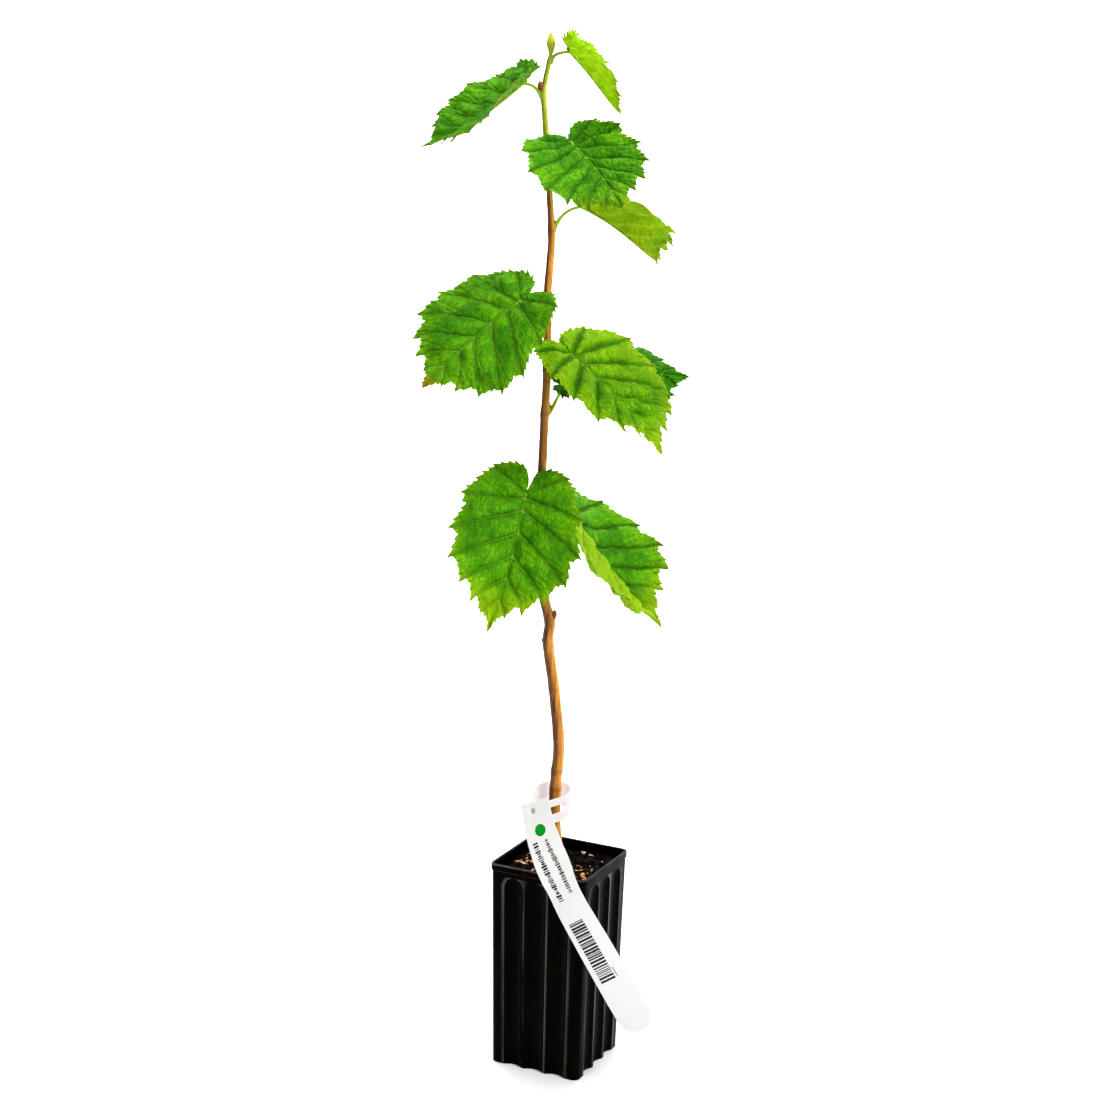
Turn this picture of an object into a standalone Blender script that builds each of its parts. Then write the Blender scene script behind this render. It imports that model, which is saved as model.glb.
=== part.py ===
"""Young hazel in a square nursery pot, with a loop tag round its stem.

Metres, +Z up. The origin is the middle of the pot's flat underside, and the pot's sides
run along X and Y. The plant and its tag are laid out in the plant frame: the same origin
and Z, turned by PLANT_TURN, with x to the plant's right and y away from its best side.
"""
import math
import random
from dataclasses import dataclass

import bmesh
import bpy
import numpy as np

GAP = 0.0003                 # clearance between pieces that touch
TUBE_START = (0.3, 0.2, 1.0)   # sets where a tube's first corner lies
PLANT_TURN = math.radians(26.0)

# Pot
POT_HEIGHT = 0.150
POT_RIM_HALF = 0.0365        # half of the outer side at the rim
POT_BASE_HALF = 0.0342
POT_CORNER = 0.005
POT_WALL = 0.0015
POT_FLOOR = 0.002
POT_EDGE = 0.0005            # small chamfer on the rim and the foot
LIP_FOOT = 0.1455            # height of the lower edge of the rim's lip
LIP_REACH = 0.0006           # how far the lip stands out from the wall
LIP_EASE = 0.0006            # height over which it does so
POT_SHARP = 28               # creases steeper than this stay sharp, in degrees
FLUTE_STARTS = (0.15, 0.39, 0.64)   # along each side, as shares of it
FLUTE_ENDS = (0.36, 0.61, 0.85)
FLUTE_DEPTH = 0.0028
FLUTE_SPRING = 0.134         # where the arched tops begin
FLUTE_CROWN = 0.142          # where they end
FLUTE_POINTS = 5
ARCH_LEVELS = (0.0, 0.55, 0.85, 1.0)   # between spring and crown
ARCH_CLOSE = 0.95            # how far the arch closes before the flute ends
INNER_FLUTE = 0.9            # depth of a flute on the inside against the outside
CORNER_POINTS = 3
DRAINS = 8
DRAIN_RADIUS = 0.004
DRAIN_SIDES = 10
DRAIN_REACHES = (0.020, 0.026)   # from the middle: along the sides, and to the corners

# Soil
SOIL_TOP = 0.143
SOIL_ROUGHNESS = 0.0008
SOIL_RINGS = (0.80, 0.58, 0.36)    # rings of its top, as shares of its outline
SOIL_SEED = 4
SOIL_SHARP = 40

# Stem: x and y of its axis against height, and its width against height
STEM_FOOT = SOIL_TOP + GAP
STEM_TOP = 0.7035
STEM_AXIS = (
    (0.1433, -0.0020, 0.0000), (0.1840, -0.0045, 0.0008), (0.2080, -0.0041, 0.0010),
    (0.2320, -0.0027, 0.0010), (0.2720, -0.0069, -0.0004), (0.3060, -0.0119, -0.0014),
    (0.3210, -0.0112, -0.0012), (0.3400, -0.0160, -0.0004), (0.3640, -0.0179, 0.0006),
    (0.4060, -0.0192, 0.0010), (0.4500, -0.0183, -0.0002), (0.5000, -0.0170, -0.0010),
    (0.5440, -0.0181, 0.0004), (0.5810, -0.0162, 0.0010), (0.6080, -0.0179, 0.0006),
    (0.6510, -0.0213, -0.0002), (0.6760, -0.0236, -0.0006), (0.6860, -0.0226, -0.0004),
    (0.6960, -0.0207, 0.0000), (0.7035, -0.0194, 0.0002),
)
STEM_WIDTHS = (
    (0.1433, 0.0135), (0.1470, 0.0106), (0.1540, 0.0088), (0.1700, 0.0081), (0.2350, 0.0079),
    (0.3000, 0.0077), (0.3400, 0.0074), (0.4000, 0.0065), (0.4500, 0.0059), (0.5200, 0.0056),
    (0.5700, 0.0053), (0.6050, 0.0044), (0.6600, 0.0041), (0.6900, 0.0036), (0.6985, 0.0032),
    (0.7035, 0.0022),
)
STEM_SIDES = 10
STEM_STEP = 0.018
STEM_LEAST_STEP = 0.0015     # rings closer than this are left out
STEM_SHARP = 50
NODE_SWELL = 0.14            # share by which a node is thicker than the stem
NODE_REACH = 0.0045          # height over which the swelling fades
NODE_CLEAR = 0.0054          # even rings keep this far from a node
BARE_NODES = (0.2000, 0.2130, 0.2400, 0.2730, 0.3050, 0.3230)

# Buds: height, heading in degrees and length of those with no leaf under them
BARE_BUDS = ((0.2400, -10, 0.0040), (0.3050, 178, 0.0058), (0.3230, -6, 0.0072))
BUD_SLIMNESS = 0.62          # width as a share of length
AXIL_RISE = 0.0032           # how far above its leaf's node a bud stands
BUD_RISE = 76.0              # angle above the horizontal, in degrees
BUD_SINK = 0.55              # where its base stands, as a share of the stem's radius
BUD_PROFILE = (              # width along a bud, both as shares
    (0.0, 0.59), (0.2, 0.81), (0.4, 0.95), (0.6, 0.94), (0.8, 0.71), (1.0, 0.035),
)
BUD_SIDES = 6
END_BUD_LENGTH = 0.0150
END_BUD_WIDTH = 0.0058
END_BUD_SINK = 0.0015        # how deep it stands in the top of the stem
END_BUD_LEAN = (-0.02, 0.0, 1.0)
END_BUD_PROFILE = (          # as BUD_PROFILE, but narrow at its foot
    (0.0, 0.36), (0.16, 0.60), (0.35, 0.93), (0.53, 1.0), (0.72, 0.76), (0.88, 0.38), (1.0, 0.035),
)

# Leaf blade, as shares of its length
HALF_OUTLINE = (
    (-0.075, 0.008), (-0.135, 0.018), (-0.190, 0.070), (-0.205, 0.155), (-0.165, 0.255),
    (-0.065, 0.345), (0.080, 0.412), (0.245, 0.455), (0.430, 0.462), (0.590, 0.425),
    (0.715, 0.338), (0.805, 0.205), (0.865, 0.108), (0.925, 0.048), (1.000, 0.003),
)
VEIN_ENDS = (0.0, 0.20, 0.38, 0.53, 0.65, 0.75, 0.835, 0.91, 1.0)      # along the margin
VEIN_ROOTS = (0.0, 0.005, 0.03, 0.12, 0.28, 0.45, 0.61, 0.77, 1.0)        # along the midrib
BLADE_THICKNESS = 0.0115
BLADE_ROWS = 25
BLADE_COLUMNS = (0.0, 0.36, 0.72, 1.0)
TOOTH_DEPTH = 0.045
CREASE = 0.003               # half width of the rounded fold along the midrib, in metres
WIDEST = 0.46                # how wide a half is, at its widest
FARTHEST = 0.65              # how far sideways the cross section is worked out
REACH_BACK = -0.3            # where the midrib's curve begins and ends
REACH_ON = 1.05
CURVE_STEPS = 270            # for working out both curves
PROBE = 0.0002               # how far apart points are taken to find the blade's slope
LEAF_SHARP = 35

# Leaf stalk
STALK_ROOT = 0.0016
STALK_WIDTH = 0.0011         # radius along most of its length
STALK_TIP = 0.0006
STALK_SINK = 0.09            # how far it runs on under the blade, as a share of its length
STALK_TUCK = 0.4             # how low it lies there, as a share of its radius
STALK_HANDLE = 0.42          # how far each end pulls its curve, as a share of its span
STALK_TAPER = (0.0, 0.15, 0.7, 1.0)   # where along it the radii change
STALK_SIDES = 6
STALK_STEPS = 8

# Tag: a strip that hangs over the rim from a loop round the stem
TAG_HALF = 0.0122
TAG_THICKNESS = 0.0006
TAG_STRIP = (                # centre line in the plant frame, and the yaw of level lines on it
    (-0.0191, -0.0090, 0.1938, 38), (-0.0165, -0.0142, 0.1842, 36), (-0.0134, -0.0205, 0.1743, 33),
    (-0.0085, -0.0300, 0.1635, 29), (-0.0032, -0.0404, 0.1545, 26), (0.0010, -0.0461, 0.1465, 26),
    (0.0085, -0.0502, 0.1325, 22), (0.0164, -0.0534, 0.1197, 16), (0.0241, -0.0555, 0.1072, 11),
    (0.0327, -0.0575, 0.0928, 8), (0.0412, -0.0590, 0.0785, 6), (0.0490, -0.0602, 0.0655, 5),
    (0.0599, -0.0614, 0.0476, 5),
)
LOOP_HALF = 0.0088
LOOP_PATH = (                # centre line of the band round the stem, plant frame
    (-0.0088, -0.0112, 0.1862), (-0.0035, -0.0090, 0.1872), (0.0015, -0.0062, 0.1884),
    (0.0050, -0.0015, 0.1896), (0.0058, 0.0040, 0.1912), (0.0030, 0.0092, 0.1928),
    (-0.0040, 0.0118, 0.1936), (-0.0115, 0.0102, 0.1926), (-0.0170, 0.0060, 0.1902),
    (-0.0196, 0.0000, 0.1874), (-0.0194, -0.0052, 0.1850),
)
STRIP_STEPS = 2
END_STEPS = 6
END_TURN = 86.0              # degrees of the round end on each side, so that it closes flat
END_CLEAR = 0.002            # stations of the strip keep this far from the round end
EYELET_ALONG = 0.0065        # from the strip's top to the middle of its blind eyelet
EYELET_ACROSS = -0.0026      # from the strip's centre line, to its left
EYELET_RADIUS = 0.0019
EYELET_SIDES = 14


@dataclass
class Leaf:
    """One leaf: its node's height, where the blade begins, its set (degrees) and its shape."""
    node: float
    base: tuple
    heading: float
    pitch: float
    roll: float
    length: float
    fold: float = 0.0        # how far each half turns up at the midrib
    close: float = 0.0       # extra fold at the tip
    curl: float = 0.0        # further turn between midrib and margin
    skew: float = 0.0        # curl added on the left and taken on the right
    droop: float = 0.0       # how far the midrib bends down by the tip
    twist: float = 0.0       # turn about the midrib by the tip
    bow: float = 0.0         # sideways sweep of the midrib, as a share of the length
    left: float = 1.0        # width of each half against the common outline
    right: float = 1.0
    bud: float = 0.005       # length of the bud above its stalk, or 0 for none
    rise: float = 56.0       # how steeply its stalk leaves the stem, in degrees


LEAVES = (
    Leaf(0.6975, (-0.0065, 0.0000, 0.7041), 9, -53, 29, 0.0519, fold=50, close=-13, curl=-22,
         skew=-12, droop=-8, twist=-20, bow=0.12, left=0.75, right=1.22, rise=80, bud=0),
    Leaf(0.6755, (-0.0379, 0.0000, 0.6833), 183, -40, -6, 0.0775, fold=23, close=-3, curl=-12,
         skew=-10, droop=-15, twist=-18, bow=0.08, left=0.85, right=0.97, rise=62, bud=0.007),
    Leaf(0.6300, (-0.0046, -0.0180, 0.6467), -65, -21, 20, 0.0793, close=-15, curl=30,
         skew=-6, droop=15, twist=2, bow=0.01, left=0.91, right=1.17),
    Leaf(0.5885, (0.0041, 0.0020, 0.6043), 32, -25, 5, 0.0733, fold=44, close=26, curl=-22,
         skew=8, droop=14, twist=25, bow=-0.12, left=0.9, right=1.12, rise=72, bud=0.004),
    Leaf(0.5270, (-0.0356, -0.0140, 0.5429), -160, -29, -17, 0.0874, fold=6, close=-8, curl=-12,
         skew=-12, droop=26, twist=-23, bow=0.03, left=1.16, right=1.25),
    Leaf(0.4960, (-0.0014, -0.0140, 0.5079), -33, -27, 10, 0.0930, fold=6, close=3, curl=-8,
         skew=12, droop=26, twist=-17, bow=-0.05, left=1.2, right=0.85),
    Leaf(0.4660, (0.0006, 0.0060, 0.4835), 13, -2, 27, 0.0808, fold=26, close=-40, curl=-22,
         skew=-12, droop=-15, twist=20, bow=0.12, left=1.1, right=1.06, rise=44),
    Leaf(0.3985, (-0.0292, -0.0170, 0.4132), -113, -53, -11, 0.1000, fold=11, close=19, curl=-9,
         skew=-4, droop=4, twist=-17, bow=0.03, left=0.95, right=0.95),
    Leaf(0.3740, (0.0022, 0.0120, 0.3974), -6, -59, 0, 0.1027, fold=-16, close=38, curl=26,
         skew=8, droop=-15, twist=20, bow=-0.01, left=1.22, right=1.1),
)


# ---------------------------------------------------------------- shared geometry

def spline(points, steps):
    """A smooth curve through the points, with so many steps between neighbours."""
    points = np.asarray(points, float)
    ends = np.vstack([2 * points[0] - points[1], points, 2 * points[-1] - points[-2]])
    curve = []
    for before, start, end, after in zip(ends, ends[1:], ends[2:], ends[3:]):
        for step in range(steps):
            t = step / steps
            curve.append(0.5 * (2 * start + (end - before) * t
                                + (2 * before - 5 * start + 4 * end - after) * t ** 2
                                + (3 * start - before - 3 * end + after) * t ** 3))
    curve.append(points[-1])
    return np.array(curve)


def unit(vector):
    return vector / np.linalg.norm(vector)


def radial(heading):
    """A level direction at a heading in degrees."""
    return np.array((math.cos(math.radians(heading)), math.sin(math.radians(heading)), 0.0))


def material(name, colour, roughness):
    """A plain Principled finish."""
    result = bpy.data.materials.new(name)
    result.use_nodes = True
    shader = result.node_tree.nodes["Principled BSDF"]
    shader.inputs["Base Color"].default_value = (*colour, 1.0)
    shader.inputs["Roughness"].default_value = roughness
    return result


def solid(name, points, faces, finish, smooth=None, parent=None):
    """An object from points and faces, its faces turned outwards."""
    mesh = bpy.data.meshes.new(name)
    mesh.from_pydata([tuple(map(float, point)) for point in points], [], faces)
    shell = bmesh.new()
    shell.from_mesh(mesh)
    bmesh.ops.recalc_face_normals(shell, faces=shell.faces)
    shell.to_mesh(mesh)
    shell.free()
    result = bpy.data.objects.new(name, mesh)
    bpy.context.scene.collection.objects.link(result)
    mesh.materials.append(finish)
    result.parent = parent
    if smooth:
        mesh.shade_smooth()
        mesh.set_sharp_from_angle(angle=math.radians(smooth))
    return result


def loft(loops):
    """Points and faces of a skin over closed loops of equal length, with flat ends."""
    count = len(loops[0])
    points = [point for loop in loops for point in loop]
    faces = []
    for row in range(len(loops) - 1):
        for i in range(count):
            j = (i + 1) % count
            low = row * count
            faces.append((low + i, low + j, low + count + j, low + count + i))
    faces.append(tuple(reversed(range(count))))
    faces.append(tuple(range(len(points) - count, len(points))))
    return points, faces


def tube(path, radii, sides):
    """Points and faces of a round tube along a path, with flat ends."""
    tangents = np.gradient(path, axis=0)
    side = np.cross(tangents[0], TUBE_START)
    loops = []
    for centre, tangent, radius in zip(path, tangents, radii):
        tangent = unit(tangent)
        side = unit(side - tangent * (side @ tangent))
        up = np.cross(tangent, side)
        angles = np.arange(sides) * math.tau / sides
        loops.append([centre + radius * (math.cos(a) * side + math.sin(a) * up) for a in angles])
    return loft(loops)


def combine(base, extras, operation):
    """One applied Boolean of the base with all the extras, which are then removed."""
    group = bpy.data.collections.new(base.name + "_tools")
    for extra in extras:
        group.objects.link(extra)
    change = base.modifiers.new(operation.lower(), "BOOLEAN")
    change.operation = operation
    change.operand_type = "COLLECTION"
    change.collection = group
    change.solver = "MANIFOLD"
    graph = bpy.context.evaluated_depsgraph_get()
    joined = bpy.data.meshes.new_from_object(base.evaluated_get(graph))
    base.modifiers.remove(change)
    base.data = joined
    for extra in extras:
        bpy.data.objects.remove(extra)
    bpy.data.collections.remove(group)


# ---------------------------------------------------------------- pot and soil

def half_side(height):
    """Half of the pot's outer side at a height."""
    return np.interp(height, (0.0, POT_HEIGHT), (POT_BASE_HALF, POT_RIM_HALF))


def flute_shape(height):
    """Width and depth of a flute at a height, as shares of its full size."""
    if height <= FLUTE_SPRING:
        return 1.0, 1.0
    rise = min((height - FLUTE_SPRING) / (FLUTE_CROWN - FLUTE_SPRING), ARCH_CLOSE)
    width = math.sqrt(1.0 - rise ** 2)
    return width, 0.0 if height >= FLUTE_CROWN else width


def section(height, inset):
    """The pot's outline at a height, moved inwards by an inset."""
    half = half_side(height) - inset
    if inset < POT_WALL / 2:
        half += LIP_REACH * np.interp(height, (LIP_FOOT - LIP_EASE, LIP_FOOT), (0.0, 1.0))
    corner = max(POT_CORNER - inset, 0.5 * POT_CORNER)
    spread, depth = flute_shape(height)
    depth *= FLUTE_DEPTH * (1.0 if inset < POT_WALL / 2 else INNER_FLUTE)
    outline = []
    for quarter in range(4):
        cosine, sine = (1, 0, -1, 0)[quarter], (0, 1, 0, -1)[quarter]
        side = []
        for step in range(CORNER_POINTS):
            angle = math.radians(180 + 90 * (step + 0.5) / CORNER_POINTS)
            side.append((-half + corner + corner * math.cos(angle),
                         -half + corner + corner * math.sin(angle)))
        for start, end in zip(FLUTE_STARTS, FLUTE_ENDS):
            middle = (start + end - 1) * half
            reach = (end - start) * half * spread
            for step in range(FLUTE_POINTS):
                t = 2 * step / (FLUTE_POINTS - 1) - 1
                side.append((middle + t * reach, -half + depth * (1 - t ** 2)))
        outline += [(cosine * x - sine * y, sine * x + cosine * y, height) for x, y in side]
    return outline


def pot_heights(low, high):
    """Heights of the pot's loops between two limits, finer where the flutes arch."""
    arch = FLUTE_CROWN - FLUTE_SPRING
    levels = [FLUTE_SPRING + arch * share for share in ARCH_LEVELS]
    levels += [LIP_FOOT - LIP_EASE, LIP_FOOT]
    return [low] + [height for height in levels if low < height < high] + [high]


def make_pot(finish):
    """The fluted pot: outer skin up, over the lip, down the inside, and drain holes."""
    outer = [section(height, 0.0) for height in pot_heights(POT_EDGE, POT_HEIGHT - POT_EDGE)]
    inner = [section(height, POT_WALL) for height in pot_heights(POT_FLOOR, POT_HEIGHT - POT_EDGE)]
    foot = [(x, y, 0.0) for x, y, z in section(0.0, POT_EDGE)]
    lip_out = [(x, y, POT_HEIGHT) for x, y, z in section(POT_HEIGHT, POT_EDGE / 2)]
    lip_in = [(x, y, POT_HEIGHT) for x, y, z in section(POT_HEIGHT, POT_WALL - POT_EDGE / 2)]
    points, faces = loft([foot] + outer + [lip_out, lip_in] + inner[::-1])
    pot = solid("pot", points, faces, finish)
    drills = []
    for index in range(DRAINS):
        centre = radial(index * 360 / DRAINS) * DRAIN_REACHES[index % 2]
        path = np.array([centre + (0, 0, -POT_FLOOR), centre + (0, 0, 2 * POT_FLOOR)])
        shape = tube(path, (DRAIN_RADIUS, DRAIN_RADIUS), DRAIN_SIDES)
        drills.append(solid(f"drain_{index}", *shape, finish))
    combine(pot, drills, "DIFFERENCE")
    pot.data.shade_smooth()
    pot.data.set_sharp_from_angle(angle=math.radians(POT_SHARP))
    return pot


def make_soil(finish):
    """The plug of compost, level under the stem and a little uneven round it."""
    rng = random.Random(SOIL_SEED)
    clear = POT_WALL + 2 * GAP
    loops = [section(height, clear) for height in pot_heights(POT_FLOOR + GAP, SOIL_TOP)]
    rim = np.array(loops[-1])
    for share in SOIL_RINGS:
        ring = rim * (share, share, 1.0)
        if share > SOIL_RINGS[-1]:
            ring[:, 2] += [rng.uniform(-1, 1) * SOIL_ROUGHNESS for _ in ring]
        loops.append([tuple(point) for point in ring])
    return solid("soil", *loft(loops), finish, smooth=SOIL_SHARP)


# ---------------------------------------------------------------- stem

STEM_CURVE = spline([(x, y, z) for z, x, y in STEM_AXIS], 6)


def stem_centre(height):
    x = np.interp(height, STEM_CURVE[:, 2], STEM_CURVE[:, 0])
    y = np.interp(height, STEM_CURVE[:, 2], STEM_CURVE[:, 1])
    return np.array((x, y, height))


def stem_radius(height):
    """Half of the stem's width at a height, with the swellings at its nodes."""
    heights, widths = zip(*STEM_WIDTHS)
    radius = np.interp(height, heights, widths) / 2
    nodes = BARE_NODES + tuple(leaf.node for leaf in LEAVES)
    near = min(abs(height - node) for node in nodes) / NODE_REACH
    return radius * (1 + NODE_SWELL * max(0.0, 1 - near ** 2))


def stalk_way(leaf):
    """The level direction in which a leaf's stalk leaves the stem."""
    return unit((np.array(leaf.base) - stem_centre(leaf.node)) * (1, 1, 0))


def ovoid(base, direction, length, width, profile=BUD_PROFILE):
    """Points and faces of a pointed bud that stands on its base."""
    path = [base + direction * length * share for share, _ in profile]
    radii = [width / 2 * girth for _, girth in profile]
    return tube(np.array(path), radii, BUD_SIDES)


def stem_heights():
    """Heights of the stem's rings: even steps, and three at each node."""
    heights = list(np.arange(STEM_FOOT, STEM_TOP, STEM_STEP)) + [STEM_TOP]
    for node in BARE_NODES + tuple(leaf.node for leaf in LEAVES):
        heights = [height for height in heights if abs(height - node) > NODE_CLEAR]
        heights += [node - NODE_REACH, node, node + NODE_REACH]
    heights += [height for height, _ in STEM_WIDTHS[:3]] + [STEM_TOP]
    kept = []
    for height in sorted(heights):
        if STEM_FOOT <= height <= STEM_TOP and (not kept or height - kept[-1] > STEM_LEAST_STEP):
            kept.append(height)
    return kept


def make_trunk(finish, frame):
    """The tapering stem from its flat cut to its end bud, with all its side buds."""
    loops = []
    for height in stem_heights():
        centre = stem_centre(height)
        radius = stem_radius(height)
        angles = np.arange(STEM_SIDES) * math.tau / STEM_SIDES
        loops.append([centre + (radius * math.cos(a), radius * math.sin(a), 0) for a in angles])
    trunk = solid("trunk", *loft(loops), finish)
    buds = []
    top = stem_centre(STEM_TOP) - (0, 0, END_BUD_SINK)
    lean = unit(np.array(END_BUD_LEAN))
    shape = ovoid(top, lean, END_BUD_LENGTH, END_BUD_WIDTH, END_BUD_PROFILE)
    buds.append(solid("end_bud", *shape, finish))
    places = [(height, radial(heading), length) for height, heading, length in BARE_BUDS]
    places += [(leaf.node + AXIL_RISE, stalk_way(leaf), leaf.bud) for leaf in LEAVES if leaf.bud]
    rise = math.radians(BUD_RISE)
    for index, (height, out, length) in enumerate(places):
        direction = out * math.cos(rise) + np.array((0, 0, math.sin(rise)))
        base = stem_centre(height) + out * stem_radius(height) * BUD_SINK
        shape = ovoid(base, direction, length, length * BUD_SLIMNESS)
        buds.append(solid(f"bud_{index}", *shape, finish))
    combine(trunk, buds, "UNION")
    trunk.data.shade_smooth()
    trunk.data.set_sharp_from_angle(angle=math.radians(STEM_SHARP))
    trunk.parent = frame
    return trunk


# ---------------------------------------------------------------- leaves

OUTLINE = spline(HALF_OUTLINE, 12)
OUTLINE_ARC = np.insert(np.cumsum(np.linalg.norm(np.diff(OUTLINE, axis=0), axis=1)), 0, 0.0)
OUTLINE_ARC /= OUTLINE_ARC[-1]


def turned(slopes, distances):
    """Across and up, travelling each distance at its slope."""
    steps = np.diff(distances)
    middle = (slopes[1:] + slopes[:-1]) / 2
    across = np.insert(np.cumsum(np.cos(middle) * steps), 0, 0.0)
    up = np.insert(np.cumsum(np.sin(middle) * steps), 0, 0.0)
    return across, up


def cross_section(leaf, distance, left, tip):
    """Across and up at a distance from the midrib, near the base or near the tip."""
    way = np.linspace(0.0, FARTHEST * leaf.length, CURVE_STEPS)
    fold = math.radians(leaf.fold + (leaf.close if tip else 0.0))
    curl = math.radians(leaf.curl + (leaf.skew if left else -leaf.skew))
    slopes = fold * np.tanh(way / CREASE) + curl * way / (WIDEST * leaf.length)
    across, up = turned(slopes, way)
    return np.interp(distance, way, across), np.interp(distance, way, up)


def bend(leaf, along, aside):
    """Flat blade coordinates to the curved blade, in the leaf's own frame."""
    share = np.clip(along / leaf.length, 0.0, 1.0)
    distance = np.abs(aside)
    across = leaf.bow * leaf.length * np.sin(math.pi * share)
    up = np.zeros_like(aside)
    for tip in (False, True):
        weight = share if tip else 1 - share
        left = cross_section(leaf, distance, True, tip)
        right = cross_section(leaf, distance, False, tip)
        across += weight * np.where(aside >= 0, left[0], -right[0])
        up += weight * np.where(aside >= 0, left[1], right[1])
    way = np.linspace(REACH_BACK * leaf.length, REACH_ON * leaf.length, CURVE_STEPS)
    slopes = -math.radians(leaf.droop) * np.clip(way / leaf.length, 0.0, None)
    forward, fall = turned(slopes, way)
    forward -= np.interp(0.0, way, forward)
    slope = np.interp(along, way, slopes)
    twist = math.radians(leaf.twist) * share
    side = across * np.cos(twist) - up * np.sin(twist)
    lift = across * np.sin(twist) + up * np.cos(twist)
    return np.stack([np.interp(along, way, forward) - lift * np.sin(slope), side,
                     np.interp(along, way, fall) + lift * np.cos(slope)], axis=-1)


def leaf_axes(leaf):
    """Rows: along the midrib, to the leaf's left, and up from its face, plant frame."""
    heading, pitch, roll = (math.radians(angle) for angle in (leaf.heading, leaf.pitch, leaf.roll))
    along = np.array((math.cos(pitch) * math.cos(heading), math.cos(pitch) * math.sin(heading),
                      math.sin(pitch)))
    level = np.array((-math.sin(heading), math.cos(heading), 0.0))
    upright = np.cross(along, level)
    return np.array([along, math.cos(roll) * level + math.sin(roll) * upright,
                     math.cos(roll) * upright - math.sin(roll) * level])


def blade_point(leaf, along, aside):
    """Flat blade coordinates to a point in the plant frame."""
    return np.array(leaf.base) + bend(leaf, along, aside) @ leaf_axes(leaf)


def blade_normal(leaf, along, aside):
    forward = blade_point(leaf, along + PROBE, aside) - blade_point(leaf, along - PROBE, aside)
    sideways = blade_point(leaf, along, aside + PROBE) - blade_point(leaf, along, aside - PROBE)
    normal = np.cross(forward, sideways)
    return normal / np.linalg.norm(normal, axis=-1, keepdims=True)


def flat_grid(leaf, margin, share, left):
    """Flat coordinates of points between the midrib and the margin, along the veins."""
    edge = np.stack([np.interp(margin, OUTLINE_ARC, OUTLINE[:, axis]) for axis in (0, 1)], -1)
    edge[..., 1] *= leaf.left if left else leaf.right
    root = np.stack([np.interp(margin, VEIN_ENDS, VEIN_ROOTS), np.zeros_like(margin)], -1)
    flat = (root + (edge - root) * share[..., None]) * leaf.length
    return flat[..., 0], flat[..., 1] * (1 if left else -1)


def blade(leaf, name, finish):
    """A thin closed blade with a toothed margin, heart-shaped at its base."""
    rows = np.linspace(0.0, 1.0, BLADE_ROWS)
    teeth = 1 - TOOTH_DEPTH * (np.arange(BLADE_ROWS) % 2 == 1)
    columns = np.array(BLADE_COLUMNS)
    margin, share = np.meshgrid(rows, columns, indexing="ij")
    share = share * teeth[:, None]
    left = flat_grid(leaf, margin, share, True)
    right = flat_grid(leaf, margin, share, False)
    along = np.hstack([left[0][:, ::-1], right[0][:, 1:]])
    aside = np.hstack([left[1][:, ::-1], right[1][:, 1:]])
    middle = blade_point(leaf, along, aside)
    offset = blade_normal(leaf, along, aside) * BLADE_THICKNESS * leaf.length / 2
    count = along.shape[1]
    size = along.size
    points = np.vstack([(middle + offset).reshape(-1, 3), (middle - offset).reshape(-1, 3)])
    faces = []
    for row in range(BLADE_ROWS - 1):
        for column in range(count - 1):
            a = row * count + column
            quad = (a, a + 1, a + count + 1, a + count)
            faces.append(quad)
            faces.append(tuple(size + corner for corner in reversed(quad)))
    last = (BLADE_ROWS - 1) * count
    rim = list(range(count)) + [row * count + count - 1 for row in range(1, BLADE_ROWS)]
    rim += [last + column for column in range(count - 2, -1, -1)]
    rim += [row * count for row in range(BLADE_ROWS - 2, 0, -1)]
    for start, end in zip(rim, rim[1:] + rim[:1]):
        faces.append((start, size + start, size + end, end))
    return solid(name, points, faces, finish, smooth=LEAF_SHARP)


def stalk(leaf, name, finish):
    """The leaf stalk: out and up from the stem, over to the blade and on beneath it."""
    axes = leaf_axes(leaf)
    base = np.array(leaf.base)
    centre = stem_centre(leaf.node)
    out = stalk_way(leaf)
    foot = centre + out * (stem_radius(leaf.node) + 2 * GAP)
    start = foot + out * STALK_ROOT
    rise = math.radians(leaf.rise)
    leaving = out * math.cos(rise) + np.array((0, 0, math.sin(rise)))
    reach = STALK_HANDLE * np.linalg.norm(base - start)
    handles = (start, start + leaving * reach, base - radial(leaf.heading) * reach, base)
    path = [foot]
    for step in range(STALK_STEPS + 1):
        t = step / STALK_STEPS
        weights = ((1 - t) ** 3, 3 * t * (1 - t) ** 2, 3 * t ** 2 * (1 - t), t ** 3)
        path.append(sum(weight * handle for weight, handle in zip(weights, handles)))
    under = np.linspace(0.25, 1.0, 4) * STALK_SINK * leaf.length
    path += list(blade_point(leaf, under, np.zeros_like(under)) - axes[2] * STALK_WIDTH * STALK_TUCK)
    path = np.array(path)
    shares = np.linspace(0.0, 1.0, len(path))
    radii = np.interp(shares, STALK_TAPER, (STALK_ROOT, STALK_WIDTH, STALK_WIDTH, STALK_TIP))
    return solid(name, *tube(path, radii, STALK_SIDES), finish)


def make_leaf(leaf, number, finish, frame):
    """Blade and stalk as one solid."""
    result = blade(leaf, f"leaf_{number}", finish)
    combine(result, [stalk(leaf, f"stalk_{number}", finish)], "UNION")
    result.data.shade_smooth()
    result.data.set_sharp_from_angle(angle=math.radians(LEAF_SHARP))
    result.parent = frame
    return result


# ---------------------------------------------------------------- tag

def band(centres, laterals, halves, thickness):
    """Points and faces of a flat band with a right-angled edge."""
    tangents = np.gradient(centres, axis=0)
    loops = []
    for centre, tangent, lateral, half in zip(centres, tangents, laterals, halves):
        side = unit(lateral - unit(tangent) * (lateral @ unit(tangent)))
        face = np.cross(unit(tangent), side) * thickness / 2
        loops.append([centre - side * half - face, centre + side * half - face,
                      centre + side * half + face, centre - side * half + face])
    return loft(loops)


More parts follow.
